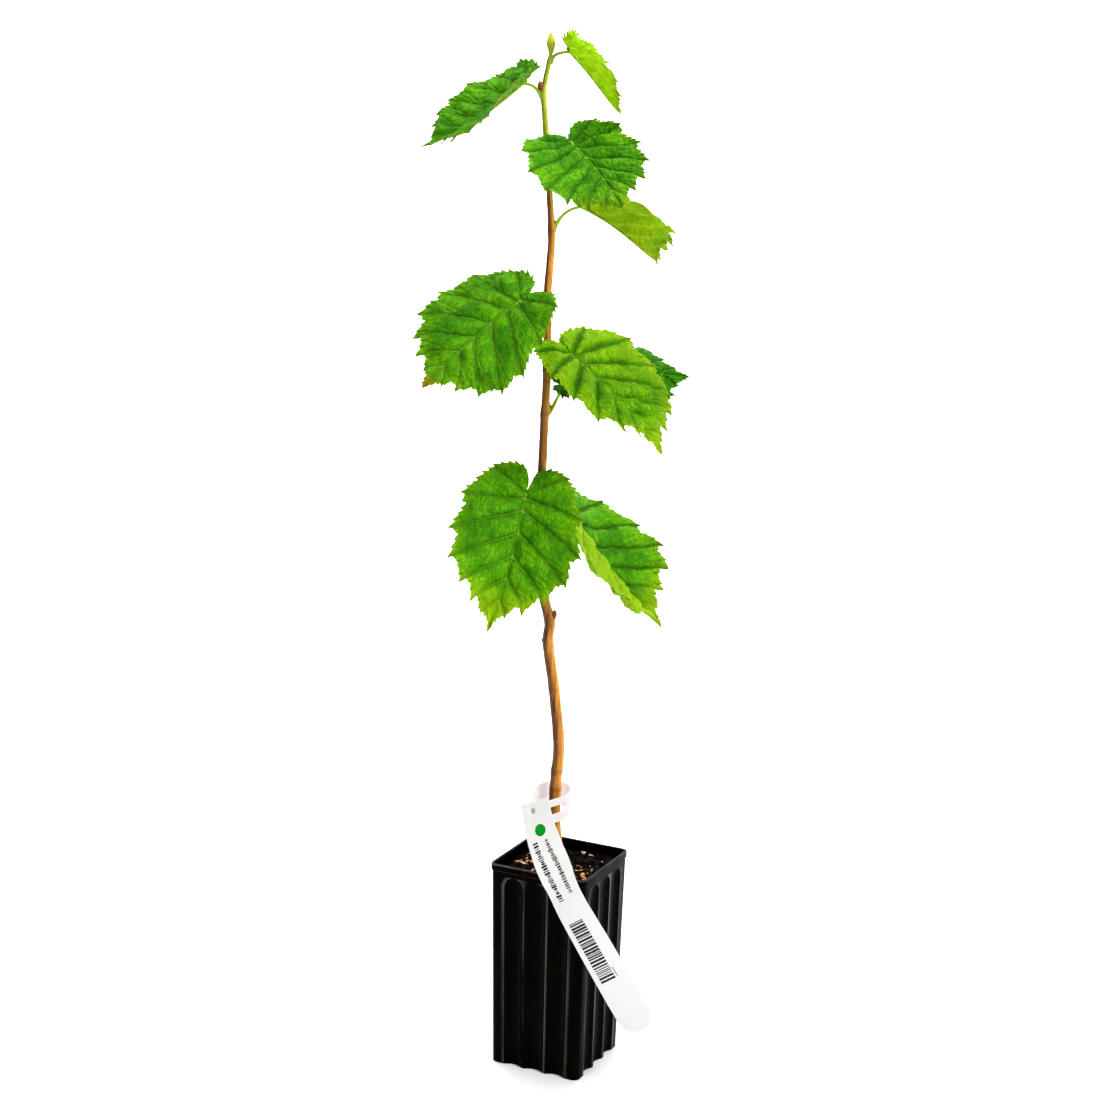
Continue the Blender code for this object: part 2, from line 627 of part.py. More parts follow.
def make_tag(finish, frame):
    """The hanging strip with its round end."""
    path = spline(TAG_STRIP, STRIP_STEPS)
    centres = path[:, :3]
    arc = np.insert(np.cumsum(np.linalg.norm(np.diff(centres, axis=0), axis=1)), 0, 0.0)
    rounding = np.sin(np.radians(np.linspace(0.0, END_TURN, END_STEPS)))
    stations = arc[-1] - TAG_HALF * (1 - rounding)
    stations = np.concatenate([arc[arc < stations[0] - END_CLEAR], stations])
    centres = np.stack([np.interp(stations, arc, path[:, axis]) for axis in range(3)], -1)
    yaws = np.interp(stations, arc, path[:, 3])
    past = np.clip((stations - arc[-1] + TAG_HALF) / TAG_HALF, 0.0, 1.0)
    halves = TAG_HALF * np.sqrt(1 - past ** 2)
    laterals = [radial(-yaw) for yaw in yaws]
    tag = solid("tag", *band(centres, laterals, halves, TAG_THICKNESS), finish)
    tangents = np.gradient(path[:, :3], arc, axis=0)
    middle, tangent = (np.array([np.interp(EYELET_ALONG, arc, table[:, axis]) for axis in range(3)])
                       for table in (path, tangents))
    level = radial(-np.interp(EYELET_ALONG, arc, path[:, 3]))
    side = unit(level - unit(tangent) * (level @ unit(tangent)))
    outward = np.cross(unit(tangent), side) * TAG_THICKNESS
    dimple = middle + side * EYELET_ACROSS
    drill = tube(np.array([dimple, dimple + outward]), (EYELET_RADIUS,) * 2, EYELET_SIDES)
    combine(tag, [solid("eyelet", *drill, finish)], "DIFFERENCE")
    tag.parent = frame
    return tag


def make_loop(finish, frame):
    """The tag's band round the stem, from its right edge to behind its left."""
    centres = spline(LOOP_PATH, STRIP_STEPS)
    laterals = [np.array((0.0, 0.0, 1.0))] * len(centres)
    halves = [LOOP_HALF] * len(centres)
    return solid("tag_loop", *band(centres, laterals, halves, TAG_THICKNESS), finish, parent=frame)


def main():
    for item in list(bpy.data.objects):
        bpy.data.objects.remove(item)
    frame = bpy.data.objects.new("plant_frame", None)
    bpy.context.scene.collection.objects.link(frame)
    frame.rotation_euler.z = PLANT_TURN
    black = material("black_plastic", (0.012, 0.012, 0.013), 0.35)
    compost = material("compost", (0.035, 0.022, 0.014), 0.95)
    bark = material("bark", (0.36, 0.19, 0.055), 0.6)
    green = material("leaf", (0.10, 0.26, 0.02), 0.5)
    white = material("tag_plastic", (0.85, 0.85, 0.83), 0.35)
    make_pot(black)
    make_soil(compost)
    make_trunk(bark, frame)
    for number, leaf in enumerate(LEAVES, start=1):
        make_leaf(leaf, number, green, frame)
    make_tag(white, frame)
    make_loop(white, frame)


main()
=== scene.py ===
"""The looks of the potted hazel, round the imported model: leaves, bark, buds, pot, compost and tag.

Metres throughout. The plant is laid out in the plant frame, which is the model's frame turned by
PLANT_TURN about Z, by the same rules and named sizes as the model's own source.
"""
import math
import random
from dataclasses import dataclass

import bpy
import numpy as np
from mathutils import Matrix, Vector


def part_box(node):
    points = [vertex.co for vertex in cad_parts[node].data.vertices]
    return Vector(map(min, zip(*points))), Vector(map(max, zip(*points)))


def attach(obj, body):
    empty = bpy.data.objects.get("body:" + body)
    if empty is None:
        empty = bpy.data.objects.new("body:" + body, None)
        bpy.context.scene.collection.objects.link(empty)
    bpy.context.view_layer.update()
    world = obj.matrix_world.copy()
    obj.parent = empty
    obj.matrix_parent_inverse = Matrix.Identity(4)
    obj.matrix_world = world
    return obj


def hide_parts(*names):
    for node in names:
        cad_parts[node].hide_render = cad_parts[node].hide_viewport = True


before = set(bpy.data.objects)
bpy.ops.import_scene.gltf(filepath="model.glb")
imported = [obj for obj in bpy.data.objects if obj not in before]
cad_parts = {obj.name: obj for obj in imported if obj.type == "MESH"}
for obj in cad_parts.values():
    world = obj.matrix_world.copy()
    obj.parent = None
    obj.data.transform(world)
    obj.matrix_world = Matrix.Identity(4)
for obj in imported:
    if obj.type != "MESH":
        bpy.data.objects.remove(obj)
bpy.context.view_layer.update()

DETAIL = 1.0
PLANT_TURN = math.radians(26.0)

# Seeds
TOOTH_SEED = 100             # with a leaf's number added
BARK_SEED = 9
LENTICEL_SEED = 21
CHIP_SEED = 77
PRINT_SEED = 5
BAR_SEED = 3

# View, in the plant frame
CAMERA_ACROSS = -0.0122
CAMERA_LOOK_HEIGHT = 0.3716
CAMERA_DISTANCE = 1.505
CAMERA_RISE = math.radians(12.8)
CAMERA_ROLL = math.radians(1.4)
CAMERA_LENS = 72.0
SENSOR = 36.0

# Pot
POT_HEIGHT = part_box("pot")[1].z
LIP_FOOT = 0.1455
LIP_REACH = 0.0006
LIP_EASE = 0.0006
POT_RIM_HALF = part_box("pot")[1].x - LIP_REACH
POT_BASE_HALF = 0.0342
POT_CORNER = 0.005
POT_WALL = 0.0015
POT_FLOOR = 0.002
POT_EDGE = 0.0005
FLUTE_POINTS = 19
CORNER_POINTS = 9
FLUTE_STARTS = (0.15, 0.39, 0.64)
FLUTE_ENDS = (0.36, 0.61, 0.85)
FLUTE_DEPTH = 0.0028
FLUTE_SPRING = 0.134
FLUTE_CROWN = 0.142
INNER_FLUTE = 0.9
# Painted highlights on the pot: at the two edges of each flute, on each of the four sides, and on
# the lip
CREST_HIGHLIGHT = ((0.85, 1.0), (0.3, 1.0), (0.3, 0.85))   # at the two edges of each flute
SIDE_HIGHLIGHT = (0.90, 1.0, 0.95, 0.95)
LIP_HIGHLIGHT = 0.75
DRAINS = 8
DRAIN_RADIUS = 0.004
DRAIN_REACHES = (0.020, 0.026)

# Compost: where bright bark and grit lie, as x, y and spread, where 1 is anywhere
SOIL_TOP = 0.143
BRIGHT_HEAPS = (
    (0.0236, -0.0085, 0.0030), (0.0245, -0.0010, 0.0035), (0.0150, -0.0160, 0.0045),
    (-0.0250, -0.0040, 0.0040), (0.0, 0.0, 1.0),
)
GRIT_HEAPS = (
    (0.0074, 0.0290, 0.0025), (-0.0270, -0.0060, 0.0040), (-0.0265, 0.0120, 0.0035),
    (0.0, 0.0, 1.0),
)
CHIPS = (                    # name, number, shortest, longest, flatness and heaps of each kind
    ("bark_chips", 380, 0.0010, 0.0030, 0.16, ((0.0, 0.0, 1.0),)),
    ("bright_chips", 46, 0.0012, 0.0032, 0.15, BRIGHT_HEAPS),
    ("grit", 34, 0.0006, 0.0016, 0.38, GRIT_HEAPS),
)
CHIP_TILT = 0.5
CHIP_LOOPS = ((-1.0, 0.45), (-0.72, 0.95), (0.1, 1.1), (0.75, 0.85), (1.0, 0.35))  # along, girth
CHIP_SIDES = 6

# Stem
STEM_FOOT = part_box("trunk")[0].z
STEM_TOP = 0.7035
STEM_AXIS = (                # height, x and y
    (0.1433, -0.0020, 0.0000), (0.1840, -0.0045, 0.0008), (0.2080, -0.0041, 0.0010),
    (0.2320, -0.0027, 0.0010), (0.2720, -0.0069, -0.0004), (0.3060, -0.0119, -0.0014),
    (0.3210, -0.0112, -0.0012), (0.3400, -0.0160, -0.0004), (0.3640, -0.0179, 0.0006),
    (0.4060, -0.0192, 0.0010), (0.4500, -0.0183, -0.0002), (0.5000, -0.0170, -0.0010),
    (0.5440, -0.0181, 0.0004), (0.5810, -0.0162, 0.0010), (0.6080, -0.0179, 0.0006),
    (0.6510, -0.0213, -0.0002), (0.6760, -0.0236, -0.0006), (0.6860, -0.0226, -0.0004),
    (0.6960, -0.0207, 0.0000), (0.7035, -0.0194, 0.0002),
)
STEM_WIDTHS = (              # height and width
    (0.1433, 0.0135), (0.1470, 0.0106), (0.1540, 0.0088), (0.1700, 0.0081), (0.2350, 0.0079),
    (0.3000, 0.0077), (0.3400, 0.0074), (0.4000, 0.0065), (0.4500, 0.0059), (0.5200, 0.0056),
    (0.5700, 0.0053), (0.6050, 0.0044), (0.6600, 0.0041), (0.6900, 0.0036), (0.6985, 0.0032),
    (0.7035, 0.0022),
)
NODE_SWELL = 0.14            # at a leaf, as a share of the radius
BARE_SWELL = 0.05            # at a bare node
NODE_REACH = 0.0045
BARE_NODES = (0.2000, 0.2130, 0.2400, 0.2730, 0.3050, 0.3230)
RINGS = (0.9, 1.0, 0.05, 0.75, 0.25, 0.25)     # how dark and raised each bare node's ring is
LEAF_RING = 0.3
BARK_RIDGES = ((0.022, 3, 30), (0.012, 7, 90), (0.010, 11, -140))      # height, number and twist
BARK_GRAIN = 0.014
LENTICELS = 190
LENTICEL_HEIGHTS = (0.155, 0.64)

# Buds: height, heading and length of those with no leaf under them
BARE_BUDS = ((0.2400, -10, 0.0040), (0.3050, 178, 0.0058), (0.3230, -6, 0.0072))
BUD_SLIMNESS = 0.62
AXIL_RISE = 0.0032
BUD_RISE = 76.0
BUD_SINK = 0.55
END_BUD_LENGTH = 0.0150
END_BUD_WIDTH = 0.0058
END_BUD_SINK = 0.0015
END_BUD_LEAN = (-0.02, 0.0, 1.0)
END_BUD_PROFILE = ((0.0, 0.36), (0.16, 0.60), (0.35, 0.93), (0.53, 1.0), (0.72, 0.76), (0.88, 0.38),
                   (1.0, 0.02))
BUD_PROFILE = ((0.0, 0.59), (0.2, 0.84), (0.4, 0.98), (0.6, 0.94), (0.8, 0.66), (1.0, 0.03))

# Leaf blade, as shares of its length
HALF_OUTLINE = (             # along and aside
    (-0.075, 0.008), (-0.135, 0.018), (-0.190, 0.070), (-0.205, 0.155), (-0.165, 0.255),
    (-0.065, 0.345), (0.080, 0.412), (0.245, 0.455), (0.430, 0.462), (0.590, 0.425),
    (0.715, 0.338), (0.805, 0.205), (0.865, 0.108), (0.925, 0.048), (1.000, 0.003),
)
VEIN_ENDS = (0.0, 0.20, 0.38, 0.53, 0.65, 0.75, 0.835, 0.91, 1.0)      # along the margin
VEIN_ROOTS = (0.0, 0.005, 0.03, 0.12, 0.28, 0.45, 0.61, 0.77, 1.0)     # along the midrib
FORKS = ((0.34, 0.62), (0.52, 0.40), (0.70, 0.22))     # start and spread of a side vein's forks
CREASE = 0.003
WIDEST = 0.46
SECTION_REACH = 0.9          # farther from the midrib than any tooth
TEETH = (7, 6, 5, 4, 4, 3, 3, 4)         # between one vein's end and the next
ROWS_PER_TOOTH = 6
BLADE_COLUMNS = 48
LEAF_THICKNESS = 0.00032
TOOTH_HEIGHT = 0.028
LOBE_HEIGHT = 0.052
TOOTH_BACK = 0.2             # share of a tooth's pitch that its steep side takes
NOTCH = 0.24                 # where the notch lies between two vein ends
TOOTH_LEAN = 0.75
PLEAT_HEIGHT = 0.030         # height of the pleats between veins, as a share of the length
PLEAT_FADE = 0.0030
FORK_FADE = 0.0014
FORK_HEIGHT = 0.0006         # height of the smaller pleats between forks, in metres
RUNG_SPACING = 0.0034        # between the cross veins that join the side veins
RIB_HEIGHT = 0.00035
RIPPLES = ((0.0052, 10, 14), (0.017, 50, 8), (0.034, 30, 6))   # wavelength, seed and waves of each
PUCKER_HEIGHT = 0.00022
BUCKLE_HEIGHT = 0.0006
WAVE_HEIGHT = 0.012          # as a share of the length

# Leaf stalk
STALK_WIDTH = 0.0011
STALK_SINK = 0.09
GAP = 0.0003

# Tag
TAG_HALF = 0.0122
TAG_THICKNESS = 0.0006
TAG_FILM = 0.8 * TAG_THICKNESS
TAG_STRIP = (                # centre line, and the yaw of level lines on it
    (-0.0191, -0.0090, 0.1938, 38), (-0.0165, -0.0142, 0.1842, 36), (-0.0134, -0.0205, 0.1743, 33),
    (-0.0085, -0.0300, 0.1635, 29), (-0.0032, -0.0404, 0.1545, 26), (0.0010, -0.0461, 0.1465, 26),
    (0.0085, -0.0502, 0.1325, 22), (0.0164, -0.0534, 0.1197, 16), (0.0241, -0.0555, 0.1072, 11),
    (0.0327, -0.0575, 0.0928, 8), (0.0412, -0.0590, 0.0785, 6), (0.0490, -0.0602, 0.0655, 5),
    (0.0599, -0.0614, 0.0476, 5),
)
EYELET_ALONG = 0.0065
EYELET_ACROSS = -0.0026
EYELET_RADIUS = 0.0019
DOT_ALONG = 0.0210
DOT_RADIUS = 0.0043
PRINT_LINES = (              # plain dashes: from along and across, to along and across, height
    (0.0280, -0.0064, 0.0750, -0.0044, 0.0027), (0.0290, 0.0022, 0.0712, 0.0052, 0.0023),
    (0.1305, 0.0040, 0.1380, 0.0044, 0.0006),
)
STROKE_RUN = (0.24, 0.60)    # of a dash, as shares of its line's height
STROKE_GAP = (0.14, 0.34)
STROKE_TALL = (0.45, 0.95)
BARS = (0.0910, 0.1380, -0.0085, 0.0026)   # along from and to, across from and to
BAR_RUNS = (0.0007, 0.0011, 0.0016)
BAR_GAPS = (0.0005, 0.0009)
PRINT_LEVEL = TAG_FILM / 2 + 0.00004       # of printed marks above the strip's middle
LOOP_SLOT = (0.20, -0.0020, 0.0034)        # its end as a share of the loop, and its edges
LOOP_HALF = 0.0088
LOOP_PATH = (
    (-0.0088, -0.0112, 0.1862), (-0.0035, -0.0090, 0.1872), (0.0015, -0.0062, 0.1884),
    (0.0050, -0.0015, 0.1896), (0.0058, 0.0040, 0.1912), (0.0030, 0.0092, 0.1928),
    (-0.0040, 0.0118, 0.1936), (-0.0115, 0.0102, 0.1926), (-0.0170, 0.0060, 0.1902),
    (-0.0196, 0.0000, 0.1874), (-0.0194, -0.0052, 0.1850),
)

# Studio, in the plant frame: name, place, target, size and power of each light
LIGHTS = (
    ("key", (1.2, -1.15, 1.45), (0.0, 0.0, 0.34), 0.6, 35.0),
    ("left", (-1.1, -1.2, 1.7), (0.0, 0.0, 0.40), 1.0, 7.0),
    ("top", (-0.1, 0.2, 2.0), (0.0, 0.0, 0.35), 0.9, 26.0),
    ("wall_left", (-1.2, 1.7, 2.2), (-0.6, 4.0, 0.3), 2.0, 150.0),
    ("wall_right", (1.2, 1.7, 2.2), (0.6, 4.0, 0.3), 2.0, 150.0),
)
WORLD_LIGHT = 0.34
FLOOR_HALF_WIDTH = 8.0
FLOOR_DEPTH = 4.0
WALL_HEIGHT = 5.0
FLOOR_CURVE = 1.2


@dataclass
class Leaf:
    """One leaf: its node's height, where the blade begins, its set (degrees) and its shape."""
    node: float
    base: tuple
    heading: float
    pitch: float
    roll: float
    length: float
    fold: float = 0.0
    close: float = 0.0
    curl: float = 0.0
    skew: float = 0.0
    droop: float = 0.0
    twist: float = 0.0
    bow: float = 0.0
    left: float = 1.0
    right: float = 1.0
    bud: float = 0.005
    rise: float = 56.0
    young: float = 0.0       # how yellow its green is, to 1; less than 0 is darker
    # valley also sets how strong the painted shade in those valleys is
    valley: float = 0.6      # how deep and dark the valleys along its veins are
    edge: float = 0.15       # how yellow its margin and tip are
    jag: float = 1.0         # size of its teeth
    brown_tip: float = 0.0
    pale_veins: float = 0.0  # how wide and pale its veins are above
    pleat: float = 1.0       # height of its pleats
    tip: float = 0.15        # how yellow its tip is
    rust: float = 0.0        # how rusty its left margin is
    # painted_light_right is painted light on the leaf's right half
    painted_light_right: float = 0.0  # how much paler its right half is


LEAVES = (
    Leaf(0.6975, (-0.0065, 0.0000, 0.7041), 9, -53, 29, 0.0519, fold=50, close=-13, curl=-22,
         skew=-12, droop=-8, twist=-20, bow=0.12, left=0.75, right=1.22, rise=80, bud=0, young=1.0,
         valley=0.3, edge=0.0, jag=2.0, tip=0.0),
    Leaf(0.6755, (-0.0379, 0.0000, 0.6833), 183, -40, -6, 0.0775, fold=23, close=-3, curl=-12,
         skew=-10, droop=-15, twist=-18, bow=0.08, left=0.85, right=0.97, rise=62, bud=0.007,
         young=-0.35, valley=0.4, edge=0.0, pleat=0.5, tip=0.0, rust=0.8),
    Leaf(0.6300, (-0.0046, -0.0180, 0.6467), -65, -21, 20, 0.0793, close=-15, curl=30,
         skew=-6, droop=15, twist=2, bow=0.01, left=0.91, right=1.17, young=-0.2, valley=0.85,
         edge=0.1),
    Leaf(0.5885, (0.0041, 0.0020, 0.6043), 32, -25, 5, 0.0733, fold=44, close=26, curl=-22,
         skew=8, droop=14, twist=25, bow=-0.12, left=0.9, right=1.12, rise=72, bud=0.004,
         young=0.6, valley=0.4, edge=0.0, jag=1.3),
    Leaf(0.5270, (-0.0356, -0.0140, 0.5429), -160, -29, -17, 0.0874, fold=6, close=-8, curl=-12,
         skew=-12, droop=26, twist=-23, bow=0.03, left=1.16, right=1.25, brown_tip=1.0,
         young=-0.12, valley=0.5, edge=0.1, pale_veins=0.8),
    Leaf(0.4960, (-0.0014, -0.0140, 0.5079), -33, -27, 10, 0.0930, fold=6, close=3, curl=-8,
         skew=12, droop=26, twist=-17, bow=-0.05, left=1.2, right=0.85, young=0.1,
         valley=1.4, edge=0.6, tip=0.5),
    Leaf(0.4660, (0.0006, 0.0060, 0.4835), 13, -2, 27, 0.0808, fold=26, close=-40, curl=-22,
         skew=-12, droop=-15, twist=20, bow=0.12, left=1.1, right=1.06, rise=44,
         young=-0.8, valley=0.9, edge=0.0, tip=0.0),
    Leaf(0.3985, (-0.0292, -0.0170, 0.4132), -113, -53, -11, 0.1000, fold=11, close=19, curl=-9,
         skew=-4, droop=4, twist=-17, bow=0.03, left=0.95, right=0.95, young=-0.12,
         valley=0.5, edge=0.2, pale_veins=0.3, tip=0.75),
    Leaf(0.3740, (0.0022, 0.0120, 0.3974), -6, -59, 0, 0.1027, fold=-16, close=38, curl=26,
         skew=8, droop=-15, twist=20, bow=-0.01, left=1.22, right=1.1, young=-0.12,
         valley=0.9, edge=0.2, painted_light_right=0.8, tip=0.7),
)


# ---------------------------------------------------------------- shared geometry

def spline(points, steps):
    """A smooth curve through the points, with so many steps between neighbours."""
    points = np.asarray(points, float)
    ends = np.vstack([2 * points[0] - points[1], points, 2 * points[-1] - points[-2]])
    curve = []
    for before, start, end, after in zip(ends, ends[1:], ends[2:], ends[3:]):
        for step in range(steps):
            t = step / steps
            curve.append(0.5 * (2 * start + (end - before) * t
                                + (2 * before - 5 * start + 4 * end - after) * t ** 2
                                + (3 * start - before - 3 * end + after) * t ** 3))
    curve.append(points[-1])
    return np.array(curve)


def unit(vector):
    return vector / np.linalg.norm(vector)


def radial(heading):
    """A level direction at a heading in degrees."""
    return np.array((math.cos(math.radians(heading)), math.sin(math.radians(heading)), 0.0))


def unit_rows(vectors):
    return vectors / np.maximum(np.linalg.norm(vectors, axis=-1, keepdims=True), 1e-9)


def raised(way, angle):
    """A level direction turned upwards by an angle in degrees."""
    angle = math.radians(angle)
    return way * math.cos(angle) + np.array((0, 0, math.sin(angle)))


def circle(count):
    """The angles of so many even steps round a circle."""
    return np.arange(count) * math.tau / count


def smooth_step(value, low, high):
    share = np.clip((value - low) / (high - low), 0.0, 1.0)
    return share * share * (3 - 2 * share)


def ripples(points, wavelength, seed, waves=14):
    """Smooth seeded noise of about unit height over points, as a sum of plane waves."""
    rng = np.random.default_rng(seed)
    total = np.zeros(len(points))
    for _ in range(waves):
        way = rng.normal(size=points.shape[1])
        way *= math.tau / wavelength / np.linalg.norm(way) * rng.uniform(0.6, 1.6)
        total += np.sin(points @ way + rng.uniform(0, math.tau))
    return total / math.sqrt(waves / 2)


def grid_faces(rows, columns, around=False):
    """Quads of a grid of points, row by row, closed across its columns if it goes around."""
    row = np.arange(rows - 1)[:, None] * columns
    first = np.arange(columns if around else columns - 1)[None, :]
    second = (first + 1) % columns
    return np.stack([row + first, row + second, row + columns + second, row + columns + first],
                    -1).reshape(-1, 4)


def tube_faces(rows, columns):
    """Quads round a tube of points, row by row, and a face at each end."""
    rings = np.arange(rows * columns).reshape(rows, columns)
    return grid_faces(rows, columns, around=True).tolist() + [rings[0, ::-1].tolist(),
                                                              rings[-1].tolist()]


def sheet_solid(top, low):
    """Points and faces of a thin sheet, from the point grids of its two sides."""
    rows, columns = top.shape[:2]
    faces = grid_faces(rows, columns)
    grid = np.arange(rows * columns).reshape(rows, columns)
    rim = np.concatenate([grid[0], grid[1:, -1], grid[-1, -2::-1], grid[-2:0:-1, 0]])
    after = np.roll(rim, -1)
    walls = np.stack([rim, grid.size + rim, grid.size + after, after], -1)
    return (np.vstack([top.reshape(-1, 3), low.reshape(-1, 3)]),
            np.vstack([faces, faces[:, ::-1] + grid.size, walls]).tolist())


def new_mesh(name, points, faces, materials, indices=None, smooth=60):
    """An object from arrays, smooth but for edges sharper than an angle in degrees, if any."""
    mesh = bpy.data.meshes.new(name)
    mesh.from_pydata(np.asarray(points).tolist(), [], [list(map(int, face)) for face in faces])
    for finish in materials:
        mesh.materials.append(finish)
    if indices is not None:
        mesh.polygons.foreach_set("material_index", np.asarray(indices, np.int32))
    mesh.validate()
    mesh.shade_smooth()
    if smooth:
        mesh.set_sharp_from_angle(angle=math.radians(smooth))
    result = bpy.data.objects.new(name, mesh)
    bpy.context.scene.collection.objects.link(result)
    return result


def store(obj, name, values, kind="FLOAT", field="value"):
    """A number or vector for each point, which materials read by its name."""
    attribute = obj.data.attributes.new(name, kind, "POINT")
    attribute.data.foreach_set(field, np.asarray(values, np.float32).ravel())


def settle(obj, slot, *nodes, in_plant=True):
    """Turns a piece of the plant into the model's frame, hangs it on the root body and hides the
    model's parts for its nodes; its slot is not used.
    """
    if in_plant:
        obj.data.transform(Matrix.Rotation(PLANT_TURN, 4, "Z"))
    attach(obj, "root")
    if nodes:
        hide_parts(*nodes)


class Shell:
    """Points and faces gathered from many parts."""

    def __init__(self):
        self.points = []
        self.faces = []
        self.kinds = []
        self.values = []
        self.count = 0

    def add(self, points, faces, kind=0, value=0.0):
        self.points.append(np.asarray(points, float))
        self.faces += [[int(i) + self.count for i in face] for face in faces]
        self.kinds += [kind] * len(faces)
        self.values.append(np.broadcast_to(np.asarray(value, float), (len(points),)))
        self.count += len(points)

    def build(self, name, materials, smooth=60):
        result = new_mesh(name, np.vstack(self.points), self.faces, materials, self.kinds, smooth)
        store(result, "shade", np.concatenate(self.values))
        return result


def cut(obj, cutter):
    """Takes the cutter out of an object."""
    change = obj.modifiers.new("cut", "BOOLEAN")
    change.operation = "DIFFERENCE"
    change.object = cutter
    bpy.context.view_layer.update()
    graph = bpy.context.evaluated_depsgraph_get()
    obj.data = bpy.data.meshes.new_from_object(obj.evaluated_get(graph))
    obj.modifiers.clear()
    bpy.data.objects.remove(cutter)


def tube(path, radii, sides):
    """Points and faces of a round tube along a path, with closed ends."""
    path = np.asarray(path, float)
    tangents = np.gradient(path, axis=0)
    side = np.cross(tangents[0], (0.3, 0.2, 1.0))
    angles = circle(sides)
    loops = []
    for centre, tangent, radius in zip(path, tangents, radii):
        tangent = unit(tangent)
        side = unit(side - tangent * (side @ tangent))
        up = np.cross(tangent, side)
        loops.append(centre + radius * (np.cos(angles)[:, None] * side
                                        + np.sin(angles)[:, None] * up))
    return np.vstack(loops), tube_faces(len(path), sides)


# ---------------------------------------------------------------- materials

class Nodes:
    """Builds one material's node tree."""

    def __init__(self, name):
        self.material = bpy.data.materials.new(name)
        self.material.use_nodes = True
        self.tree = self.material.node_tree
        self.shader = self.tree.nodes["Principled BSDF"]
        self.output = self.tree.nodes["Material Output"]

    def value(self, socket, value):
        """Sets a socket from a number, a colour or another socket."""
        if isinstance(value, bpy.types.NodeSocket):
            self.tree.links.new(value, socket)
        elif isinstance(value, tuple) and len(value) == 3 and socket.type == "RGBA":
            socket.default_value = (*value, 1.0)
        else:
            socket.default_value = value

    def node(self, kind, output, inputs=None, **settings):
        """The output of a new node, with its inputs set by name or place."""
        made = self.tree.nodes.new(kind)
        for key, value in settings.items():
            setattr(made, key, value)
        for key, value in (inputs or {}).items():
            self.value(made.inputs[key], value)
        return made.outputs[output]

    def attribute(self, name, output="Fac"):
        return self.node("ShaderNodeAttribute", output, attribute_name=name)

    def place(self):
        return self.node("ShaderNodeTexCoord", "Object")

    def height(self, place):
        return self.node("ShaderNodeSeparateXYZ", "Z", {0: place})

    def scaled(self, vector, scale):
        return self.node("ShaderNodeMapping", "Vector", {"Vector": vector, "Scale": scale})

    def noise(self, vector, scale, detail=3.0, rough=0.55, distort=0.0):
        return self.node("ShaderNodeTexNoise", "Fac", {
            "Vector": vector, "Scale": scale, "Detail": detail, "Roughness": rough,
            "Distortion": distort})

    def cells(self, vector, scale):
        return self.node("ShaderNodeTexVoronoi", "Distance", {"Vector": vector, "Scale": scale})

    def span(self, value, low, high, out_low=0.0, out_high=1.0):
        """Maps low..high to out_low..out_high, held at both ends."""
        return self.node("ShaderNodeMapRange", "Result", {
            "Value": value, "From Min": low, "From Max": high, "To Min": out_low,
            "To Max": out_high})

    def math(self, operation, first, second):
        return self.node("ShaderNodeMath", 0, {0: first, 1: second}, operation=operation)

    def times(self, first, second):
        return self.math("MULTIPLY", first, second)

    def mix(self, share, first, second):
        return self.node("ShaderNodeMix", 2, {0: share, 6: first, 7: second}, data_type="RGBA")

    def bump(self, height, strength, distance, under=None):
        inputs = {"Height": height, "Strength": strength, "Distance": distance}
        if under is not None:
            inputs["Normal"] = under
        return self.node("ShaderNodeBump", "Normal", inputs)

    def finish(self, **inputs):
        """Sets the shader's sockets, named with underscores for spaces."""
        for key, value in inputs.items():
            self.value(self.shader.inputs[key.replace("_", " ")], value)
        return self.material

    def glow(self, share, colour):
        """Lets a share of the light through, in its own colour."""
        through = self.node("ShaderNodeBsdfTranslucent", 0, {"Color": colour})
        both = self.node("ShaderNodeMixShader", 0, {
            0: share, 1: self.shader.outputs[0], 2: through})
        self.value(self.output.inputs["Surface"], both)
        return self.material


LEAF_GREEN = (0.045, 0.300, 0.0012)
LEAF_DEEP = (0.018, 0.165, 0.0008)
LEAF_DARK = (0.012, 0.085, 0.0008)
LEAF_LIGHT = (0.225, 0.620, 0.0030)
LEAF_YELLOW = (0.47, 0.68, 0.0045)
LEAF_BRIGHT = (0.66, 0.88, 0.0060)
LEAF_UNDER = (0.29, 0.55, 0.0060)
UNDER_DARK = (0.10, 0.34, 0.0025)
VEIN_TOP = (0.22, 0.52, 0.025)
VEIN_UNDER = (0.56, 0.76, 0.060)
TIP_BROWN = (0.42, 0.20, 0.012)
RUST = (0.48, 0.27, 0.030)


def blended(first, second, share):
    """A colour part of the way between two."""
    return tuple(a + (b - a) * share for a, b in zip(first, second))


